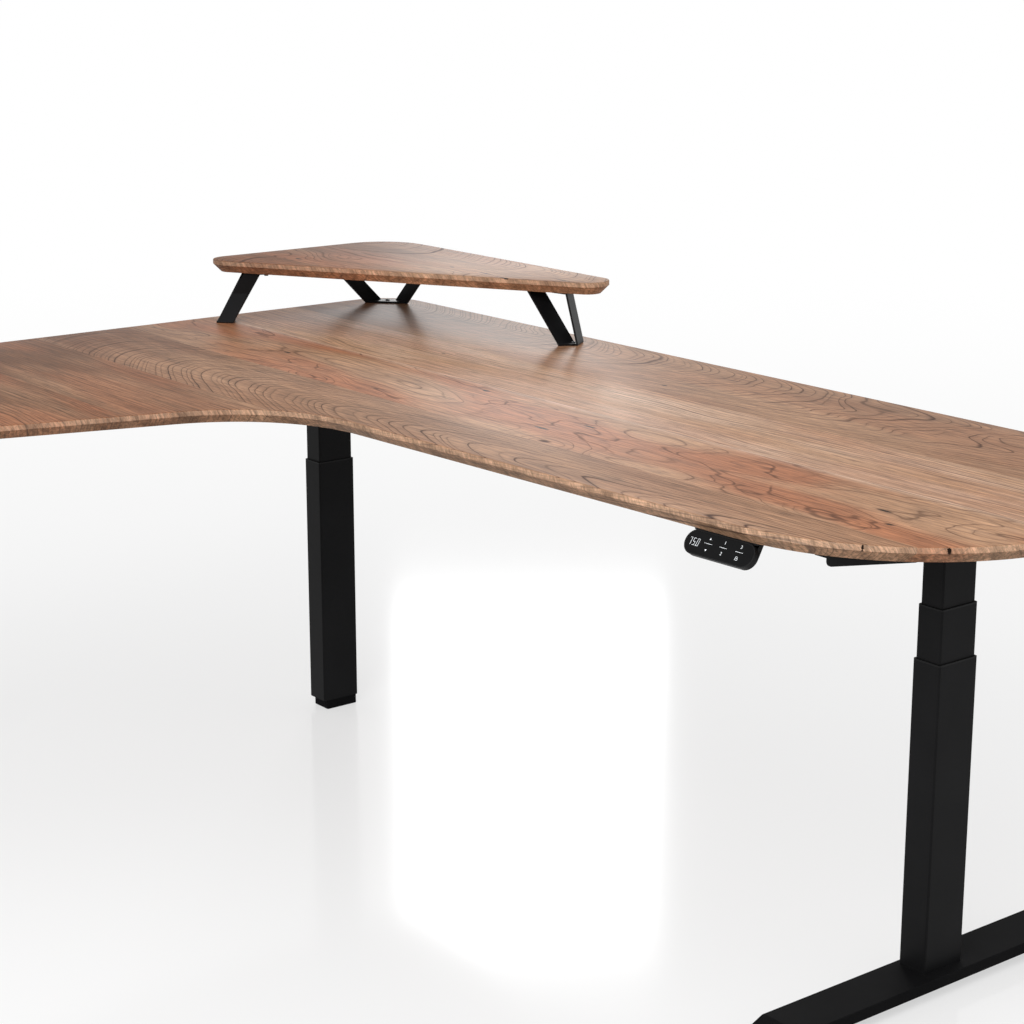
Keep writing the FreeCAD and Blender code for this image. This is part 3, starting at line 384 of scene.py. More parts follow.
    # The sawn edges take some of the paler end-grain tone, and the upright band above the bevel takes more of
    # it than the downward bevel: painted light on the band
    end_grain_and_band_light = node(tree, "MapRange", Value=facing, _1=-0.5, _2=-0.1, _3=0.2, _4=0.4)
    end_grain_and_band_light = node(tree, "Math", "MULTIPLY", _0=edge, _1=end_grain_and_band_light)
    cut = node(tree, "Mix", BLEND, Factor=end_grain_and_band_light, A=body, B=look.end_grain)
    cut = node(tree, "Mix", TINT, Factor=edge, A=cut, B=streaks_and_edge_light)
    ragged = node(tree, "Math", "MULTIPLY_ADD", _0=fibre, _1=2.4, _2=-1.2)
    for x, y, z, long, wide, high in marks:
        off = node(tree, "VectorMath", "SUBTRACT", _0=plan, _1=(x, y, z))
        off = node(tree, "VectorMath", "MULTIPLY", _0=off, _1=(1 / long, 1 / wide, 1 / high))
        gape = node(tree, "VectorMath", "LENGTH", _0=off).outputs["Value"]
        gape = node(tree, "Math", "ADD", _0=gape, _1=ragged)
        gape = node(tree, "MapRange", SMOOTH, Value=gape, _1=1.1, _2=0.5)
        cut = node(tree, "Mix", BLEND, Factor=gape, A=cut, B=look.check)

    # The oil lies thinner in the open latewood, which sits a little lower than the planed fibres
    dull = node(tree, "MapRange", Value=dark, _3=0.44, _4=0.58)
    dull = node(tree, "Math", "MULTIPLY_ADD", _0=fibre, _1=0.08, _2=dull)
    height = node(tree, "Math", "MULTIPLY_ADD", _0=dark, _1=-0.15, _2=fibre)
    bump = node(tree, "Bump", Height=height, Strength=0.08, Distance=0.0004)
    feed(tree, shader, Base_Color=cut, Roughness=dull, Normal=bump, Specular_IOR_Level=0.04,
         Coat_Weight=oil, Coat_Roughness=0.30)
    return material


def powder_coat(name, look_colour, rough, grit_mm, gloss):
    """Powder-coated steel: baked polyester whose fine orange peel and matt grains break up its dull sheen."""
    material, tree, shader = blank_material(name)
    place = node(tree, "TexCoord").outputs["Object"]
    peel = node(tree, "TexNoise", Vector=place, Scale=1 / (grit_mm * MM), Detail=2.0)
    drift = node(tree, "TexNoise", Vector=place, Scale=1 / (90 * MM), Detail=2.0)
    shade = node(tree, "MapRange", Value=drift, _1=0.3, _2=0.7, _3=0.85, _4=1.2)
    grains = node(tree, "MapRange", Value=peel, _1=0.3, _2=0.7, _3=0.65, _4=1.4)
    shade = node(tree, "Math", "MULTIPLY", _0=shade, _1=grains)
    tint = node(tree, "Mix", TINT, Factor=1.0, A=look_colour, B=shade)
    dull = node(tree, "MapRange", Value=peel, _1=0.3, _2=0.7, _3=rough - 0.08, _4=rough + 0.08)
    bump = node(tree, "Bump", Height=peel, Strength=0.25, Distance=0.0002)
    feed(tree, shader, Base_Color=tint, Roughness=dull, Normal=bump, Specular_IOR_Level=gloss)
    return material


def moulded(name, look_colour, rough, spark_mm):
    """Injection-moulded plastic: the spark-eroded mould leaves a fine even grain that scatters the sheen."""
    material, tree, shader = blank_material(name)
    place = node(tree, "TexCoord").outputs["Object"]
    # The grain of such a mould is about 0.1 mm wide, drawn coarser so that it shows
    spark = node(tree, "TexVoronoi", Vector=place, Scale=1 / (spark_mm * MM)).outputs["Distance"]
    flow = node(tree, "TexNoise", Vector=place, Scale=1 / (35 * MM), Detail=2.0)
    shade = node(tree, "MapRange", Value=flow, _1=0.3, _2=0.7, _3=0.85, _4=1.15)
    tint = node(tree, "Mix", TINT, Factor=1.0, A=look_colour, B=shade)
    dull = node(tree, "MapRange", Value=spark, _1=0.0, _2=0.8, _3=rough - 0.06, _4=rough + 0.06)
    bump = node(tree, "Bump", Height=spark, Strength=0.10, Distance=0.0002)
    feed(tree, shader, Base_Color=tint, Roughness=dull, Normal=bump, Specular_IOR_Level=0.2)
    return material


def black_acrylic(name, look_colour):
    """Cast acrylic front, polished: deep black with clear reflections and faint finger marks."""
    material, tree, shader = blank_material(name)
    place = node(tree, "TexCoord").outputs["Object"]
    smudge = node(tree, "TexNoise", Vector=place, Scale=1 / (14 * MM), Detail=4.0, Roughness=0.6)
    dull = node(tree, "MapRange", Value=smudge, _1=0.35, _2=0.7, _3=0.10, _4=0.24)
    film = node(tree, "MapRange", Value=smudge, _1=0.4, _2=0.8, _3=0.9, _4=1.3)
    tint = node(tree, "Mix", TINT, Factor=1.0, A=look_colour, B=film)
    feed(tree, shader, Base_Color=tint, Roughness=dull, Specular_IOR_Level=0.09)
    return material


def lit_mark(name, look_colour):
    """Light guide behind the acrylic: the marks glow a little, unevenly along their strokes."""
    material, tree, shader = blank_material(name)
    place = node(tree, "TexCoord").outputs["Object"]
    uneven = node(tree, "TexNoise", Vector=place, Scale=1 / (3 * MM), Detail=1.0)
    glow = node(tree, "MapRange", Value=uneven, _1=0.3, _2=0.7, _3=0.45, _4=0.75)
    feed(tree, shader, Base_Color=look_colour, Roughness=0.4, Emission_Color=look_colour,
         Emission_Strength=glow)
    return material


def zinc_plate(name, look_colour, rough):
    """Zinc-plated steel: a metal skin with cloudy crystals and fine marks from the tool."""
    material, tree, shader = blank_material(name)
    place = node(tree, "TexCoord").outputs["Object"]
    # Crystals and tool marks are drawn coarser than they are, so that they show
    cloud = node(tree, "TexVoronoi", Vector=place, Scale=1 / (1.6 * MM)).outputs["Distance"]
    scuff = node(tree, "TexNoise", Vector=place, Scale=1 / (0.7 * MM), Detail=3.0)
    shade = node(tree, "MapRange", Value=cloud, _1=0.0, _2=0.8, _3=0.78, _4=1.1)
    tint = node(tree, "Mix", TINT, Factor=1.0, A=look_colour, B=shade)
    dull = node(tree, "MapRange", Value=scuff, _1=0.3, _2=0.7, _3=rough - 0.08, _4=rough + 0.1)
    feed(tree, shader, Base_Color=tint, Roughness=dull, Metallic=1.0)
    return material


def rolled_screw(name, look_colour, pitch_mm):
    """Rolled and oiled steel: bright flanks, with painted shade darkening the valley at each turn of the
    thread.
    """
    material, tree, shader = blank_material(name)
    place = node(tree, "TexCoord").outputs["Object"]
    up = node(tree, "SeparateXYZ", Vector=place).outputs["Z"]
    turn = node(tree, "Math", "DIVIDE", _0=up, _1=pitch_mm * MM)
    turn = node(tree, "Math", "PINGPONG", _0=turn, _1=0.5)
    smear = node(tree, "TexNoise", Vector=place, Scale=1 / (6 * MM), Detail=3.0)
    # Painted shade: the steel is darkened in the valley of each turn of the thread
    shade = node(tree, "MapRange", SMOOTH, Value=turn, _1=0.05, _2=0.3, _3=0.35, _4=1.0)
    tint = node(tree, "Mix", TINT, Factor=1.0, A=look_colour, B=shade)
    dull = node(tree, "MapRange", Value=smear, _1=0.3, _2=0.7, _3=0.22, _4=0.42)
    bump = node(tree, "Bump", Height=turn, Strength=0.6, Distance=0.0012)
    feed(tree, shader, Base_Color=tint, Roughness=dull, Normal=bump, Metallic=1.0)
    return material


def leveller_foot(name, rubber, zinc, pad_top):
    """Rubber pad on a zinc-plated stud: dull black below, bright threaded metal above the pad."""
    material, tree, shader = blank_material(name)
    place = node(tree, "TexCoord").outputs["Object"]
    up = node(tree, "SeparateXYZ", Vector=place).outputs["Z"]
    stud = node(tree, "Math", "GREATER_THAN", _0=up, _1=pad_top)
    grain = node(tree, "TexNoise", Vector=place, Scale=1 / (1.2 * MM), Detail=3.0)
    # The stud's thread rises 1.25 mm in a turn
    turn = node(tree, "Math", "PINGPONG", _0=up, _1=1.25 * MM / 2)
    shade = node(tree, "MapRange", Value=grain, _1=0.3, _2=0.7, _3=0.75, _4=1.25)
    pad = node(tree, "Mix", TINT, Factor=1.0, A=rubber, B=shade)
    tint = node(tree, "Mix", BLEND, Factor=stud, A=pad, B=zinc)
    dull = node(tree, "MapRange", Value=stud, _3=0.75, _4=0.3)
    thread = node(tree, "Math", "MULTIPLY", _0=turn, _1=stud)
    height = node(tree, "Math", "MULTIPLY_ADD", _0=grain, _1=0.0002, _2=thread)
    bump = node(tree, "Bump", Height=height, Strength=0.5, Distance=1.0)
    feed(tree, shader, Base_Color=tint, Roughness=dull, Normal=bump, Metallic=stud)
    return material


def select_edges(mesh, keep):
    """Edit mode: select only the edges whose two ends both satisfy keep."""
    bpy.ops.mesh.select_mode(type="EDGE")
    bpy.ops.mesh.select_all(action="DESELECT")
    shape = bmesh.from_edit_mesh(mesh)
    for edge in shape.edges:
        edge.select_set(all(keep(v.co) for v in edge.verts))
    bmesh.update_edit_mesh(mesh)


def join(pieces, name):
    """Join pieces into the first one, which gets the name."""
    bpy.ops.object.select_all(action="DESELECT")
    for piece in pieces:
        piece.select_set(True)
    bpy.context.view_layer.objects.active = pieces[0]
    if len(pieces) > 1:
        bpy.ops.object.join()
    pieces[0].name = name
    return pieces[0]


def board(name, corners, radii, low, high, sizes):
    """Board drawn round its corners as arcs and runs, filled, raised to its thickness, its edges eased."""
    runs = []
    for i, here in enumerate(corners):
        back = (corners[i - 1] - here).normalized()
        ahead = (corners[(i + 1) % len(corners)] - here).normalized()
        half = back.angle(ahead) / 2
        start = here + back * (radii[i] / math.tan(half))
        centre = here + (back + ahead).normalized() * (radii[i] / math.sin(half))
        turn = math.pi - 2 * half
        if back.cross(ahead).z > 0:
            turn = -turn
        runs.append((start, centre, turn))
    bpy.ops.object.select_all(action="DESELECT")
    bpy.ops.mesh.primitive_plane_add(size=0.01, location=(0, 0, 0))
    piece = bpy.context.active_object
    piece.name = name
    bpy.ops.object.mode_set(mode="EDIT")
    bpy.ops.mesh.select_mode(type="VERT")
    bpy.ops.mesh.merge(type="CENTER")
    floor = Vector((0, 0, low))
    bpy.ops.transform.translate(value=runs[0][0] + floor)
    for i, (start, centre, turn) in enumerate(runs):
        steps = max(8, math.ceil(abs(turn) / math.radians(2)))
        bpy.ops.mesh.spin(steps=steps, angle=-turn, center=centre + floor, axis=(0, 0, 1))
        end = centre + Matrix.Rotation(turn, 3, "Z") @ (start - centre)
        onward = runs[(i + 1) % len(runs)][0] - end
        bpy.ops.mesh.extrude_region_move(TRANSFORM_OT_translate={"value": onward})
    bpy.ops.mesh.select_all(action="SELECT")
    bpy.ops.mesh.remove_doubles(threshold=1e-5)
    bpy.ops.mesh.edge_face_add()
    bpy.ops.mesh.extrude_region_move(TRANSFORM_OT_translate={"value": (0, 0, high - low)})
    bpy.ops.mesh.select_all(action="SELECT")
    bpy.ops.mesh.normals_make_consistent(inside=False)
    select_edges(piece.data, lambda place: place.z < low + 1e-5)
    bpy.ops.mesh.bevel(offset=sizes.bevel, offset_type="OFFSET", segments=1, affect="EDGES")
    select_edges(piece.data, lambda place: place.z > high - 1e-5)
    bpy.ops.mesh.bevel(offset=sizes.arris, offset_type="OFFSET", segments=3, affect="EDGES")
    bpy.ops.object.mode_set(mode="OBJECT")
    bpy.ops.object.shade_smooth_by_angle(angle=math.radians(35))
    if len(piece.data.polygons) < 100:
        raise RuntimeError(name + " did not close")
    return piece


class DESK_OT_desktop(bpy.types.Operator):
    """Model the L-shaped timber top in place of its CAD node"""
    bl_idname = "desk.desktop"
    bl_label = "Desktop"

    def execute(self, context):
        look, sizes = context.scene.desk_colours, context.scene.desk_sizes
        long, deep = DESK_HIGH.x - DESK_LOW.x, DESK_HIGH.y - DESK_LOW.y
        inner = Vector((sizes.inner_x, -sizes.inner_y, 0))
        right_front = inner + Vector((1, math.tan(sizes.front_taper), 0)) * (long - inner.x)
        left_front = inner + Vector((-math.tan(sizes.wing_taper), -1, 0)) * (deep + inner.y)
        corners = [Vector((0, 0, 0)), Vector((long, 0, 0)), right_front, inner, left_front]
        corners.append(Vector((0, -deep, 0)))
        corners = [corner + BACK_CORNER for corner in corners]
        radii = [sizes.back_radius, sizes.back_radius, sizes.right_radius, sizes.inner_radius]
        radii += [sizes.left_radius, sizes.back_radius]
        piece = board("desktop_timber", corners, radii, DESK_LOW.z, DESK_HIGH.z, sizes)
        # The pale seam runs where the third plank starts
        seam = float(DESK_PLANKS[2][0])
        wood = timber("oiled_acacia_top", DESK_PLANKS, DESK_MARKS, seam, DESK_HIGH.z, look, oil=0.10)
        piece.data.materials.append(wood)
        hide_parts("desktop")
        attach(piece, "top")
        return {"FINISHED"}


class DESK_OT_shelf(bpy.types.Operator):
    """Model the triangular corner shelf in place of its CAD node"""
    bl_idname = "desk.shelf"
    bl_label = "Corner shelf"

    def execute(self, context):
        look, sizes = context.scene.desk_colours, context.scene.desk_sizes
        # The pointed tips are rounded off, so the sharp corners lie past the board's box
        long = sizes.shelf_deep / math.tan(sizes.shelf_slope)
        corners = [Vector((0, 0, 0)), Vector((long, 0, 0)), Vector((0, -sizes.shelf_deep, 0))]
        radii = [sizes.shelf_back, sizes.shelf_tip, sizes.shelf_tip]
        corners = [corner + BACK_CORNER for corner in corners]
        piece = board("shelf_timber", corners, radii, SHELF_LOW.z, SHELF_HIGH.z, sizes)
        # The shelf has no pale seam, so it is put off the board; it is oiled more thinly than the top
        seam = -900.0
        wood = timber("oiled_acacia_shelf", SHELF_PLANKS, SHELF_MARKS, seam, SHELF_HIGH.z, look, oil=0.035)
        piece.data.materials.append(wood)
        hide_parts("shelf_board")
        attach(piece, "top")
        return {"FINISHED"}


class DESK_OT_steel(bpy.types.Operator):
    """Dress the columns, feet, brackets and rails in black powder coat"""
    bl_idname = "desk.steel"
    bl_label = "Steel frame"

    def execute(self, context):
        look = context.scene.desk_colours
        # Matt polyester powder on the frame, a coarser dull one on the feet, which are kicked and scuffed,
        # and a smoother satin paint on the small shelf brackets
        coat = powder_coat("powder_coated_steel", look.steel, rough=0.46, grit_mm=0.9, gloss=0.08)
        dress(nodes_in("black_steel"), coat)
        feet = [name for name in nodes_in("black_steel") if name.endswith("_foot")]
        coat = powder_coat("coarse_powder_coat", look.steel, rough=0.62, grit_mm=1.2, gloss=0.02)
        dress(feet, coat)
        coat = powder_coat("satin_painted_steel", look.steel, rough=0.36, grit_mm=0.6, gloss=0.09)
        dress(nodes_in("shelf_steel"), coat)
        return {"FINISHED"}


class DESK_OT_columns(bpy.types.Operator):
    """Dress the collars, levellers and the drive inside the columns"""
    bl_idname = "desk.columns"
    bl_label = "Column fittings"

    def execute(self, context):
        look = context.scene.desk_colours
        # Glass-filled nylon rims: black, duller than the tubes
        nylon = moulded("glass_filled_nylon", look.plastic, rough=0.55, spark_mm=0.5)
        dress(nodes_in("collar_plastic"), nylon)
        pad_top = 9 * MM
        leveller = leveller_foot("rubber_pad_and_zinc_stud", look.rubber, look.zinc, pad_top)
        dress(nodes_in("leveller_rubber"), leveller)
        pitch_mm = context.scene.desk_sizes.pitch / MM
        dress(nodes_in("screw_steel"), rolled_screw("rolled_thread_steel", look.screw, pitch_mm))
        # Natural acetal, which stays off-white
        dress(nodes_in("nut_plastic"), moulded("natural_acetal", look.nut, rough=0.4, spark_mm=0.8))
        # Die-cast zinc under black paint
        coat = powder_coat("painted_die_cast_zinc", look.casing, rough=0.5, grit_mm=0.7, gloss=0.2)
        dress(nodes_in("motor_casing"), coat)
        return {"FINISHED"}


class DESK_OT_electrics(bpy.types.Operator):
    """Dress the drive box under the top and its power inlet"""
    bl_idname = "desk.electrics"
    bl_label = "Drive box"

    def execute(self, context):
        look = context.scene.desk_colours
        # ABS shell with a coarse leather-like grain, and a smooth polyamide inlet
        dress(nodes_in("box_shell"), moulded("grained_abs", look.casing, rough=0.5, spark_mm=1.4))
        dress(nodes_in("inlet_plastic"), moulded("smooth_polyamide", look.plastic, rough=0.35, spark_mm=0.4))
        return {"FINISHED"}


# Strokes of the hand control's marks, mm on its face: along the edge and up from the middle, both ends, width
DASHES = ((-29.5, 2, -15, 2, 0.5), (0, 2, 14, 2, 0.5), (30.6, 2, 44.4, 2, 0.5))
LOCK = ((34.6, -9.8, 39.2, -9.8, 0.5), (34.6, -7.2, 39.2, -7.2, 0.5), (34.6, -9.8, 34.6, -7.2, 0.5),
        (39.2, -9.8, 39.2, -7.2, 0.5), (35.4, -7.2, 35.4, -5.0, 0.4), (35.4, -5.0, 38.4, -5.0, 0.4),
        (38.4, -5.0, 38.4, -7.2, 0.4))
# Seven bars of a figure, across 0 to 1 and up 0 to 2, and which bars each figure lights
BARS = ((0, 2, 1, 2), (1, 2, 1, 1), (1, 1, 1, 0), (0, 0, 1, 0), (0, 0, 0, 1), (0, 1, 0, 2), (0, 1, 1, 1))
LIT = {"0": (0, 1, 2, 3, 4, 5), "5": (0, 5, 6, 2, 3), "7": (0, 1, 2)}
# Left end of the readout, the gap between its figures, their strokes and its point, in mm, then their width
# and their lean as shares of half their height
READOUT_LEFT, READOUT_GAP, READOUT_STROKE = -57.4, 3.8, 0.55
POINT_LEFT, POINT_RIGHT, POINT_STROKE = -44.0, -43.7, 0.8
FIGURE_WIDE, FIGURE_LEAN = 0.68, 0.08
# Middles of the two arrows and which way they point, and of the small figures, in mm
ARROWS = ((-21, 9.2, math.pi / 2), (-22, -7.6, -math.pi / 2))
FIGURES = (("1", 7.4, 9.3), ("2", 7.2, -6.9), ("3", 38.2, 9.7))


class DESK_OT_hand_control(bpy.types.Operator):
    """Dress the hand control and raise the lit marks on its face"""
    bl_idname = "desk.hand_control"
    bl_label = "Hand control"

    def execute(self, context):
        look, sizes = context.scene.desk_colours, context.scene.desk_sizes
        # Textured ABS case and mount round a polished acrylic face
        dress(nodes_in("handset_plastic"), moulded("textured_abs", look.plastic, rough=0.48, spark_mm=0.5))
        dress(nodes_in("handset_glass"), black_acrylic("black_cast_acrylic", look.plastic))
        strokes = list(DASHES + LOCK)
        half = sizes.readout / MM / 2
        wide, lean = half * FIGURE_WIDE, half * FIGURE_LEAN
        for i, figure in enumerate("750"):
            left = READOUT_LEFT + i * (wide + READOUT_GAP)
            for bar in LIT[figure]:
                a, b, c, d = BARS[bar]
                strokes.append((left + a * wide + (b - 1) * lean, (b - 1) * half,
                                left + c * wide + (d - 1) * lean, (d - 1) * half, READOUT_STROKE))
        strokes.append((POINT_LEFT, -half, POINT_RIGHT, -half, POINT_STROKE))
        bpy.ops.object.select_all(action="DESELECT")
        made = []
        for x0, y0, x1, y1, thick in strokes:
            run = Vector((x1 - x0, y1 - y0, 0)) * MM
            middle = Vector((x0 + x1, y0 + y1, 0)) * MM / 2
            bpy.ops.mesh.primitive_circle_add(vertices=8, radius=thick * MM / 2, fill_type="NGON",
                                              location=middle, rotation=(0, 0, 0))
            stroke = context.active_object
            # A round dot is drawn out into a stroke with round ends
            stretch = run.length / 2
            for vertex in stroke.data.vertices:
                vertex.co.x += math.copysign(stretch, vertex.co.x) if abs(vertex.co.x) > 1e-6 else 0
            stroke.rotation_euler.z = math.atan2(run.y, run.x)
            made.append(stroke)
        for x, y, turn in ARROWS:
            bpy.ops.mesh.primitive_circle_add(vertices=3, radius=1.9 * MM, fill_type="NGON",
                                              location=(x * MM, y * MM, 0),
                                              rotation=(0, 0, turn - math.pi / 2))
            made.append(context.active_object)
        for body, x, y in FIGURES:
            bpy.ops.object.text_add(location=(x * MM, y * MM, 0))
            figure = context.active_object
            figure.data.body = body
            figure.data.size = 7 * MM
            figure.data.align_x = "CENTER"
            figure.data.align_y = "CENTER"
            # Drawn in a little, so the strokes are as thin as the others
            figure.data.offset = -0.04 * MM
            bpy.ops.object.convert(target="MESH")
            made.append(context.active_object)
        marks = join(made, "hand_control_marks")
        bpy.ops.object.transform_apply(location=True, rotation=True, scale=True)
        bpy.ops.object.mode_set(mode="EDIT")
        bpy.ops.mesh.select_all(action="SELECT")
        bpy.ops.mesh.remove_doubles(threshold=1e-6)
        bpy.ops.mesh.extrude_region_move(TRANSFORM_OT_translate={"value": (0, 0, 0.12 * MM)})
        bpy.ops.mesh.select_all(action="SELECT")
        bpy.ops.mesh.normals_make_consistent(inside=False)
        bpy.ops.object.mode_set(mode="OBJECT")
        # The face leans back and turns with the desk's front edge
        lean_back = Matrix.Rotation(math.pi / 2 - sizes.face_tilt, 4, "X")
        face = Matrix.Rotation(sizes.front_taper, 4, "Z") @ lean_back
        normal = face.to_3x3() @ Vector((0, 0, 1))
        middle = (PANEL_LOW + PANEL_HIGH) / 2 + normal * sizes.face_thick / 2
        marks.matrix_world = Matrix.Translation(middle) @ face
        bpy.ops.object.transform_apply(location=True, rotation=True, scale=True)
        marks.data.materials.append(lit_mark("light_guide_marks", look.readout))
        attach(marks, "top")
        return {"FINISHED"}


def solids_of(name):
    """Lowest and highest corners of each separate solid in a CAD node, from a merged copy of its mesh."""
    shape = bmesh.new()
    shape.from_mesh(frame["nodes"][name].data)
    bmesh.ops.remove_doubles(shape, verts=shape.verts, dist=1e-6)
    left = set(shape.verts)
    boxes = []
    while left:
        reach = [left.pop()]
        found = []
        while reach:
            vertex = reach.pop()
            found.append(vertex.co.copy())
            near = [edge.other_vert(vertex) for edge in vertex.link_edges]
            fresh = [v for v in near if v in left]
            left.difference_update(fresh)
            reach.extend(fresh)
        boxes.append((Vector([min(v[i] for v in found) for i in range(3)]),
                      Vector([max(v[i] for v in found) for i in range(3)])))
    shape.free()
    return boxes


class DESK_OT_fixings(bpy.types.Operator):
    """Model one wood screw with a six-lobe drive and put a copy in the place of every screw"""
    bl_idname = "desk.fixings"
    bl_label = "Screws and bolts"

    def execute(self, context):
        look, sizes = context.scene.desk_colours, context.scene.desk_sizes
        black = zinc_plate("black_zinc", look.black_zinc, rough=0.38)
        dress(nodes_in("fixing_steel"), black)
        head, radius, shank = sizes.screw_head, sizes.screw_radius, 2 * MM
        # How far in from the rim the recess starts, its depth, and how far its valleys are pulled in
        recess_inset, recess_depth, valley = radius * 0.48, head * 0.55, 0.74
        # The shank is drawn as a stub, and each copy then gets its own length
        stub = 10 * MM
        bpy.ops.object.select_all(action="DESELECT")
        bpy.ops.mesh.primitive_cylinder_add(vertices=24, radius=radius, depth=head,
                                            location=(0, 0, -head / 2))
        screw = context.active_object
        bpy.ops.object.transform_apply(location=True, rotation=False, scale=False)
        bpy.ops.object.mode_set(mode="EDIT")
        bpy.ops.mesh.select_mode(type="FACE")
        for side, inset, push in ((-1, recess_inset, recess_depth), (1, radius - shank, stub)):
            bpy.ops.mesh.select_all(action="DESELECT")
            shape = bmesh.from_edit_mesh(screw.data)
            for face in shape.faces:
                face.select_set(face.normal.z * side > 0.9 and len(face.verts) > 4)
            bmesh.update_edit_mesh(screw.data)
            bpy.ops.mesh.inset(thickness=inset, depth=0)
            if side < 0:
                # Every other pair of corners is pulled in, which leaves six lobes
                shape = bmesh.from_edit_mesh(screw.data)
                for face in [f for f in shape.faces if f.select]:
                    for i, vertex in enumerate(face.verts):
                        if i % 4 in (0, 1):
                            vertex.co.x *= valley
                            vertex.co.y *= valley
                bmesh.update_edit_mesh(screw.data)
            bpy.ops.mesh.extrude_region_move(TRANSFORM_OT_translate={"value": (0, 0, push)})
        select_edges(screw.data, lambda place: (place.z < -head + 1e-6
                                                and place.to_2d().length > radius - 1e-5))
        bpy.ops.mesh.bevel(offset=head * 0.4, offset_type="OFFSET", segments=3, affect="EDGES")
        bpy.ops.mesh.select_all(action="SELECT")
        bpy.ops.mesh.normals_make_consistent(inside=False)
        bpy.ops.object.mode_set(mode="OBJECT")
        bpy.ops.object.shade_smooth_by_angle(angle=math.radians(40))
        screw.data.materials.append(black)
        for name in ("top_screws", "shelf_screws", "shelf_foot_screws", "handset_screws"):
            copies = []
            for low, high in solids_of(name):
                copy = screw.copy()
                copy.data = screw.data.copy()
                context.collection.objects.link(copy)
                long = high.z - low.z - head
                for vertex in copy.data.vertices:
                    if vertex.co.z > stub / 2:
                        vertex.co.z = long
                place = Vector(((low.x + high.x) / 2, (low.y + high.y) / 2, low.z + head))
                turn = Matrix.Identity(4)
                if name == "shelf_foot_screws":
                    # These are driven down from above
                    place.z = high.z - head
                    turn = Matrix.Rotation(math.pi, 4, "X")
                copy.data.transform(Matrix.Translation(place) @ turn)
                copies.append(copy)
            group = join(copies, name + "_driven")
            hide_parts(name)
            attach(group, "top")
        bpy.data.objects.remove(screw)
        return {"FINISHED"}


# Where the camera stands and how it is turned
CAMERA_PLACE = (2.9767, -1.9953, 1.553)
CAMERA_TILT = math.radians(75.4334)
CAMERA_TURN = math.radians(51.825)
# A large softbox high in front of the desk, aimed at its middle, and a bright panel behind the desk, turned
# with the camera, which gives the boards their sheen and the floor its pale patch
SOFTBOX_PLACE = Vector((1.6, -2.4, 2.7))
SOFTBOX_TURN = (Vector((0, 0, 0.5)) - SOFTBOX_PLACE).to_track_quat("-Z", "Y").to_euler()
PANEL_PLACE = Vector((-6.008, 5.184, 2.95))
PANEL_TURN = (math.radians(-90), 0, CAMERA_TURN)
# Lamps: name, place, turn, width, height, watts, and whether the camera sees it
LAMPS = (("softbox", SOFTBOX_PLACE, SOFTBOX_TURN, 2.4, 2.0, 68, True),
         ("back_panel", PANEL_PLACE, PANEL_TURN, 1.415, 2.06, 76, False))
# Up to the near distance from the middle, in metres, the floor glows by the least share, and past the far
# one it is white
FLOOR_NEAR, FLOOR_FAR, FLOOR_GLOW = 1.2, 7.0, 0.58


def seen_rays(tree):
    """One for what the eye sees, straight, in a reflection or through clear things, and nought for light."""
    path = node(tree, "LightPath").outputs
    seen = node(tree, "Math", "MAXIMUM", _0=path["Is Camera Ray"], _1=path["Is Glossy Ray"])
    return node(tree, "Math", "MAXIMUM", _0=seen, _1=path["Is Transmission Ray"])


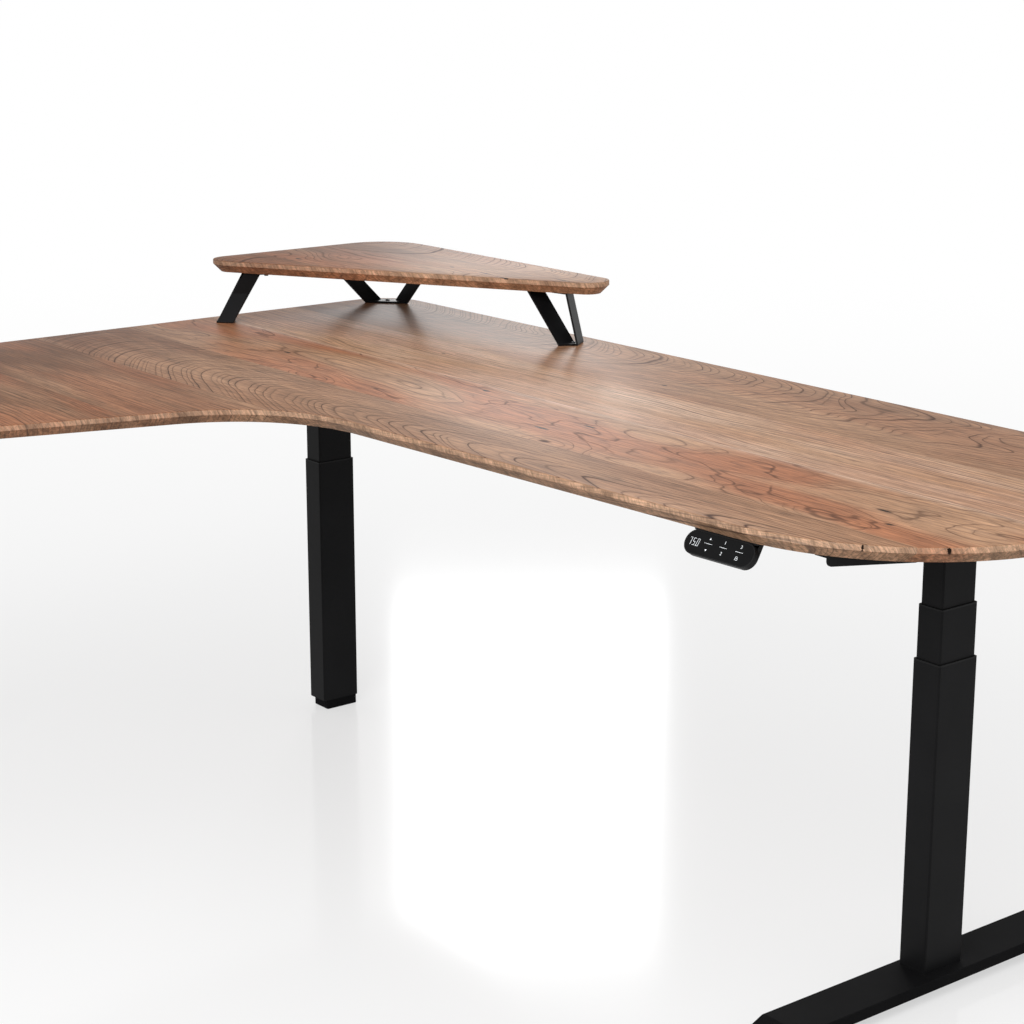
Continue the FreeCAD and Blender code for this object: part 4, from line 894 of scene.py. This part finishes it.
class DESK_OT_stage(bpy.types.Operator):
    """Set the pale floor, the soft light and the camera"""
    bl_idname = "desk.stage"
    bl_label = "Stage"

    def execute(self, context):
        scene = context.scene
        bpy.ops.object.select_all(action="DESELECT")
        bpy.ops.mesh.primitive_plane_add(size=120, location=(0, 0, 0))
        floor = context.active_object
        floor.name = "floor"
        material, tree, shader = blank_material("studio_floor")
        feed(tree, shader, Base_Color=scene.desk_colours.floor, Roughness=0.12, Specular_IOR_Level=0.3)
        # The floor glows for the eye and in reflections: the shadow stays but the ground reads white
        glow = node(tree, "Emission", Color=(1, 1, 1, 1), Strength=seen_rays(tree))
        # Far from the desk the floor fades to the white of the backdrop
        far = node(tree, "VectorMath", "LENGTH", _0=node(tree, "TexCoord").outputs["Object"])
        share = node(tree, "MapRange", SMOOTH, Value=far.outputs["Value"],
                     _1=FLOOR_NEAR, _2=FLOOR_FAR, _3=FLOOR_GLOW, _4=1.0)
        blend = node(tree, "MixShader", _0=share, _1=shader, _2=glow)
        # From below the floor is clear, so the underside can be looked at
        below = node(tree, "NewGeometry").outputs["Backfacing"]
        blend = node(tree, "MixShader", _0=below, _1=blend, _2=node(tree, "BsdfTransparent"))
        output = next(n for n in tree.nodes if n.type == "OUTPUT_MATERIAL")
        feed(tree, output, Surface=blend)
        floor.data.materials.append(material)
        world = bpy.data.worlds.new("studio")
        scene.world = world
        world.use_nodes = True
        tree = world.node_tree
        # The backdrop is white to the eye, and lights the desk a little less than that
        level = node(tree, "MapRange", Value=seen_rays(tree), _3=0.7, _4=1.0)
        feed(tree, tree.nodes["Background"], Color=(1, 1, 1, 1), Strength=level)
        for name, place, turn, wide, high, watts, visible in LAMPS:
            bpy.ops.object.light_add(type="AREA", location=place)
            lamp = context.active_object
            lamp.name = name
            lamp.rotation_euler = turn
            lamp.visible_camera = visible
            lamp.data.shape = "RECTANGLE"
            lamp.data.size = wide
            lamp.data.size_y = high
            lamp.data.energy = watts
        bpy.ops.object.camera_add(location=CAMERA_PLACE, rotation=(CAMERA_TILT, 0, CAMERA_TURN))
        camera = context.active_object
        camera.name = "camera"
        camera.data.lens = 80
        camera.data.sensor_width = 36
        camera.data.clip_end = 200
        scene.camera = camera
        scene.view_settings.view_transform = "Standard"
        return {"FINISHED"}


class DESK_PT_panel(bpy.types.Panel):
    bl_label = "Standing desk"
    bl_idname = "DESK_PT_panel"
    bl_space_type = "VIEW_3D"
    bl_region_type = "UI"
    bl_category = "Desk"

    def draw(self, context):
        column = self.layout.column()
        for operator in OPERATORS:
            column.operator(operator.bl_idname)
        for group in (context.scene.desk_sizes, context.scene.desk_colours):
            for name in group.__annotations__:
                column.prop(group, name)


OPERATORS = (DESK_OT_desktop, DESK_OT_shelf, DESK_OT_steel, DESK_OT_columns, DESK_OT_electrics,
             DESK_OT_hand_control, DESK_OT_fixings, DESK_OT_stage)
CLASSES = (DeskSizes, DeskColours) + OPERATORS + (DESK_PT_panel,)


def register():
    for cls in CLASSES:
        bpy.utils.register_class(cls)
    bpy.types.Scene.desk_sizes = PointerProperty(type=DeskSizes)
    bpy.types.Scene.desk_colours = PointerProperty(type=DeskColours)


def unregister():
    del bpy.types.Scene.desk_colours
    del bpy.types.Scene.desk_sizes
    for cls in reversed(CLASSES):
        bpy.utils.unregister_class(cls)


def main():
    register()
    bpy.ops.desk.desktop()
    bpy.ops.desk.shelf()
    bpy.ops.desk.steel()
    bpy.ops.desk.columns()
    bpy.ops.desk.electrics()
    bpy.ops.desk.hand_control()
    bpy.ops.desk.fixings()
    bpy.ops.desk.stage()


if __name__ == "__main__":
    main()
